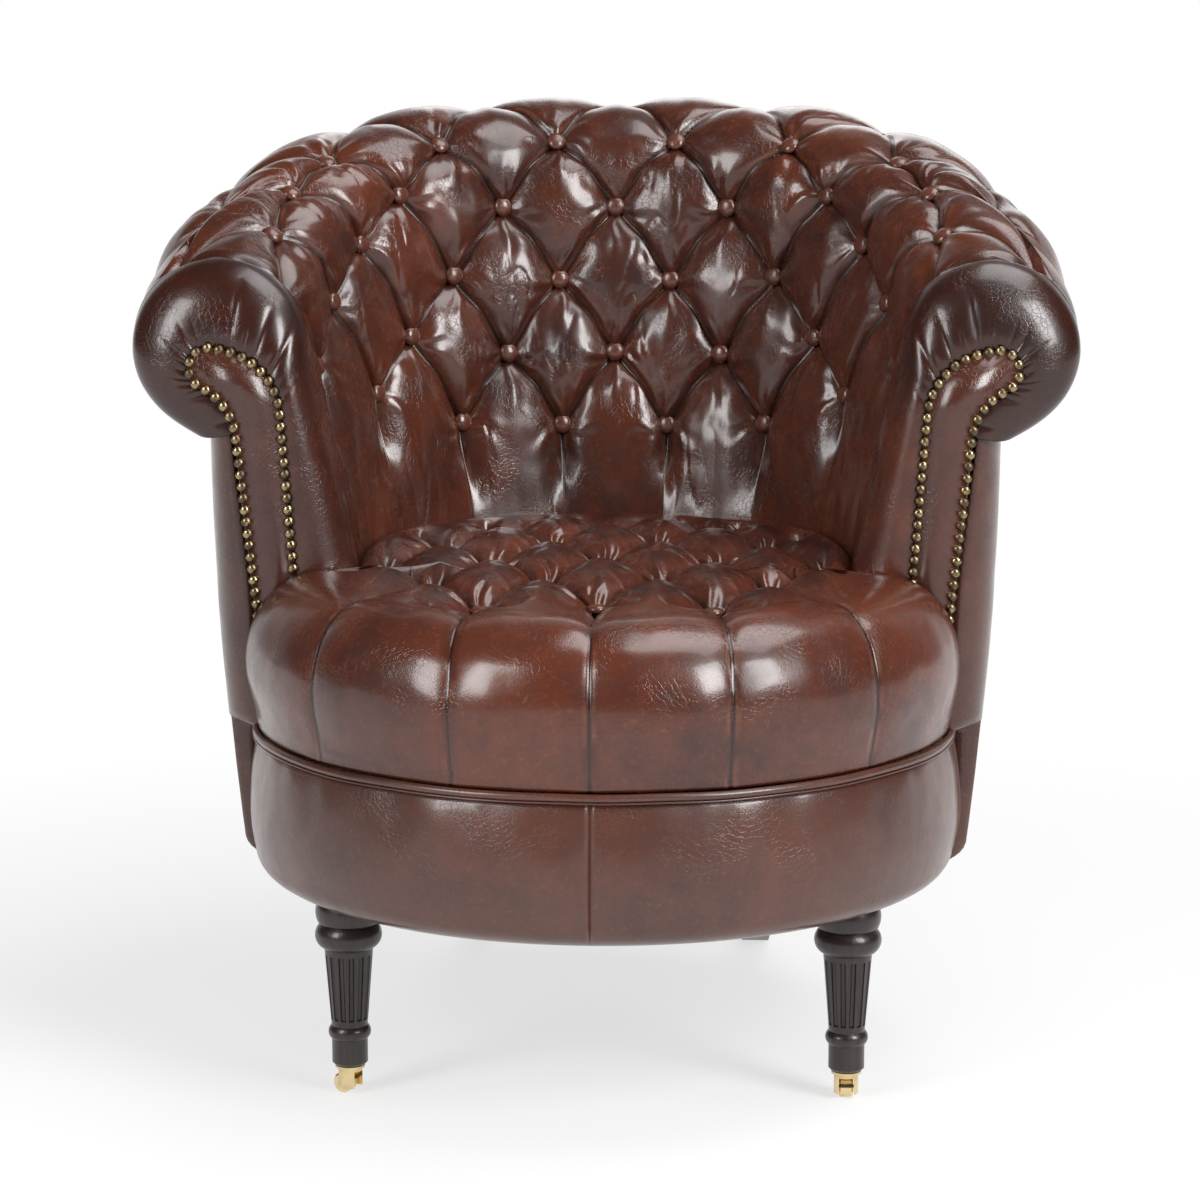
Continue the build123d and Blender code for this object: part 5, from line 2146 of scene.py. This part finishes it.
        def place(across: Array, up: Array) -> Array:
            """Points of the panel, from its seam at the back to the nails.

            Args:
                across: Steps across.
                up: Steps up.

            Returns:
                One point a row.
            """
            arm = 8 + 0 * across
            whole = self.place(arm, 0 * across, self.share_up(up, arm, 0 * across))
            corner = np.clip((across - width) / self.corner_steps, 0, 1)
            ahead_steps = self.front_steps - self.corner_steps
            past = np.clip((across - width - self.corner_steps) / ahead_steps, 0, 1)
            y = round_start - corner * (round_start + self.band_end)
            y = y - past * np.where(up > self.seam_row, self.front - self.band_end, 0.0)
            forward = np.clip(-y, 0, None)
            back = np.degrees(np.arcsin(np.clip(y, 0, None) / whole[:, 0])) * self.form.columns / 90
            first = 4 - math.degrees(math.asin(round_start / self.round_reach)) * self.form.columns / 90
            column = np.where(across < width, 4 + first * across / width, 8 - back)
            points = self.place(column, forward, self.share_up(up, column, forward))
            turned = self.turned_in(points, up > self.seam_row + 1)
            points[:, 0] = np.where(across < width, points[:, 0], turned)
            seam = np.exp(-across / 0.8) * 1.8
            waved = self.wave(points, column, seam)
            waved[:, 0] *= side.value
            return waved

        mesh = mapped_grid(width + self.front_steps, self.rows, place)
        self.dress(mesh, f"outside_arm_panel_{side.word}", f"outside_arm_{side.word}", finishes)


@dataclass(frozen=True)
class SoftBox:
    """One soft lamp, with its place and size in metres and its power in watts."""

    name: str
    place: tuple[float, float, float]
    size: tuple[float, float]
    power: float

    def hang(self, aim: Vector) -> None:
        """Hangs the lamp.

        Args:
            aim: The point that it looks at.
        """
        data = bpy.data.lights.new(self.name, "AREA")
        data.shape = "RECTANGLE"
        data.size, data.size_y = self.size
        data.energy = self.power
        lamp = bpy.data.objects.new(self.name, data)
        lamp.location = self.place
        lamp.rotation_euler = (aim - Vector(self.place)).to_track_quat("-Z", "Y").to_euler()
        bpy.context.scene.collection.objects.link(lamp)


@dataclass
class Studio:
    """Floor, lights and camera."""

    camera_place: tuple[float, float, float] = (0.1092, -2.8771, 0.8851)
    pitch: float = 9.548
    yaw: float = 2.289
    lens: float = 96.64
    shadow_reach: tuple[float, float] = (0.5, 1.3)
    shadow_white: float = 0.66
    front_gloss: float = 0.06
    fill: float = 0.22
    aim: tuple[float, float, float] = (0.0, 0.0, 0.5)
    boxes: tuple[SoftBox, ...] = (
        SoftBox("left_box", (-2.1, -2.2, 1.8), (1.0, 1.9), 60.0),
        SoftBox("right_box", (2.2, -2.0, 2.0), (1.1, 1.8), 102.0),
        SoftBox("top_box", (0.8, -0.1, 2.6), (1.6, 1.4), 34.0),
        SoftBox("rear_box", (0.3, 2.6, 2.0), (1.8, 1.2), 9.0),
    )

    def floor(self) -> None:
        """Lays the pale floor."""
        mesh = bmesh.new()
        bmesh.ops.create_grid(mesh, x_segments=4, y_segments=4, size=14.0)
        data = bpy.data.meshes.new("floor")
        mesh.to_mesh(data)
        mesh.free()
        floor = bpy.data.objects.new("floor", data)
        bpy.context.scene.collection.objects.link(floor)
        material = bpy.data.materials.new("pale_floor")
        material.use_nodes = True
        nodes = Nodes(material.node_tree)
        shader = material.node_tree.nodes["Principled BSDF"]
        shader.inputs["Base Color"].default_value = (0.86, 0.86, 0.86, 1)
        shader.inputs["Roughness"].default_value = 0.8
        shader.inputs["Specular IOR Level"].default_value = 0.1
        glow = nodes.add("Emission", Color=(1, 1, 1, 1), Strength=1.0)
        where = nodes.add("TexCoord")
        far = nodes.add("VectorMath", operation="LENGTH")
        nodes.feed(where.outputs["Object"], far.inputs[0])
        share = nodes.span(far.outputs["Value"], *self.shadow_reach, self.shadow_white, 1.0)
        seen = nodes.math("MULTIPLY", self.seen_rays(nodes), share)
        mix = nodes.add("MixShader")
        nodes.feed(seen, mix.inputs[0])
        nodes.feed(shader.outputs[0], mix.inputs[1])
        nodes.feed(glow.outputs[0], mix.inputs[2])
        nodes.feed(mix.outputs[0], material.node_tree.nodes["Material Output"].inputs[0])
        data.materials.append(material)

    def seen_rays(self, nodes: Nodes) -> bpy.types.NodeSocket:
        """One for rays that show the background: from the camera, off gloss or through glass."""
        path = nodes.add("LightPath")
        gloss = nodes.math("MAXIMUM", path.outputs["Is Glossy Ray"], path.outputs["Is Transmission Ray"])
        return nodes.math("MAXIMUM", path.outputs["Is Camera Ray"], gloss)

    def lights(self) -> None:
        """Hangs the lamps and sets the world."""
        for box in self.boxes:
            box.hang(Vector(self.aim))
        world = bpy.data.worlds.new("studio")
        bpy.context.scene.world = world
        world.use_nodes = True
        nodes = Nodes(world.node_tree)
        ground = world.node_tree.nodes["Background"]
        way = nodes.add("SeparateXYZ")
        nodes.feed(nodes.add("TexCoord").outputs["Generated"], way.inputs[0])
        behind = nodes.span(way.outputs["Y"], 0.5, 0.95, self.front_gloss, 1.0)
        path = nodes.add("LightPath")
        white = nodes.math("MAXIMUM", behind, path.outputs["Is Camera Ray"])
        lift = nodes.math("MULTIPLY", self.seen_rays(nodes), nodes.math("SUBTRACT", white, self.fill))
        ground.inputs["Color"].default_value = (1, 1, 1, 1)
        nodes.feed(nodes.math("ADD", lift, self.fill), ground.inputs["Strength"])

    def camera(self) -> None:
        """Sets the camera at the photograph's place."""
        data = bpy.data.cameras.new("camera")
        data.lens = self.lens
        data.sensor_width = 36.0
        camera = bpy.data.objects.new("camera", data)
        camera.location = self.camera_place
        camera.rotation_euler = (math.radians(90 - self.pitch), 0, math.radians(self.yaw))
        bpy.context.scene.collection.objects.link(camera)
        bpy.context.scene.camera = camera

    def build(self) -> None:
        """Builds the studio."""
        self.camera()
        self.floor()
        self.lights()
        bpy.context.scene.view_settings.view_transform = "Standard"


def dress_frame(finishes: Finishes) -> None:
    """Gives every kept node of the frame its finish.

    Args:
        finishes: The chair's finishes.
    """
    slots = {part["node"]: part["material_slot"] for part in frame["record"]["subparts"]}
    for name, node in frame["nodes"].items():
        material = finishes.made.get(slots.get(name, ""), finishes["frame_wood"])
        node.data.materials.clear()
        node.data.materials.append(material)


def main() -> None:
    """Builds the chair's looks in order."""
    logging.basicConfig(level=logging.INFO, format="%(name)s %(message)s")
    Studio().build()
    finishes = Finishes()
    dress_frame(finishes)
    form = TubForm()
    lattice = Lattice(form)
    line = ScrollLine(form)
    seat = SeatCushion(form)
    drum = Drum()
    panel = OutsidePanel(form, line)
    ButtonedInside(lattice, line).build(finishes)
    seat.build(finishes)
    Buttons(lattice).build(finishes, seat.button_feet())
    drum.piping(finishes)
    drum.under_cloth(finishes)
    drum.straps(finishes)
    panel.back(finishes)
    for side in Side:
        ScrollFront(line, side).build(finishes)
        drum.band(finishes, side)
        drum.arm_piping(finishes, side)
        panel.arm(finishes, side)


if __name__ == "__main__":
    main()
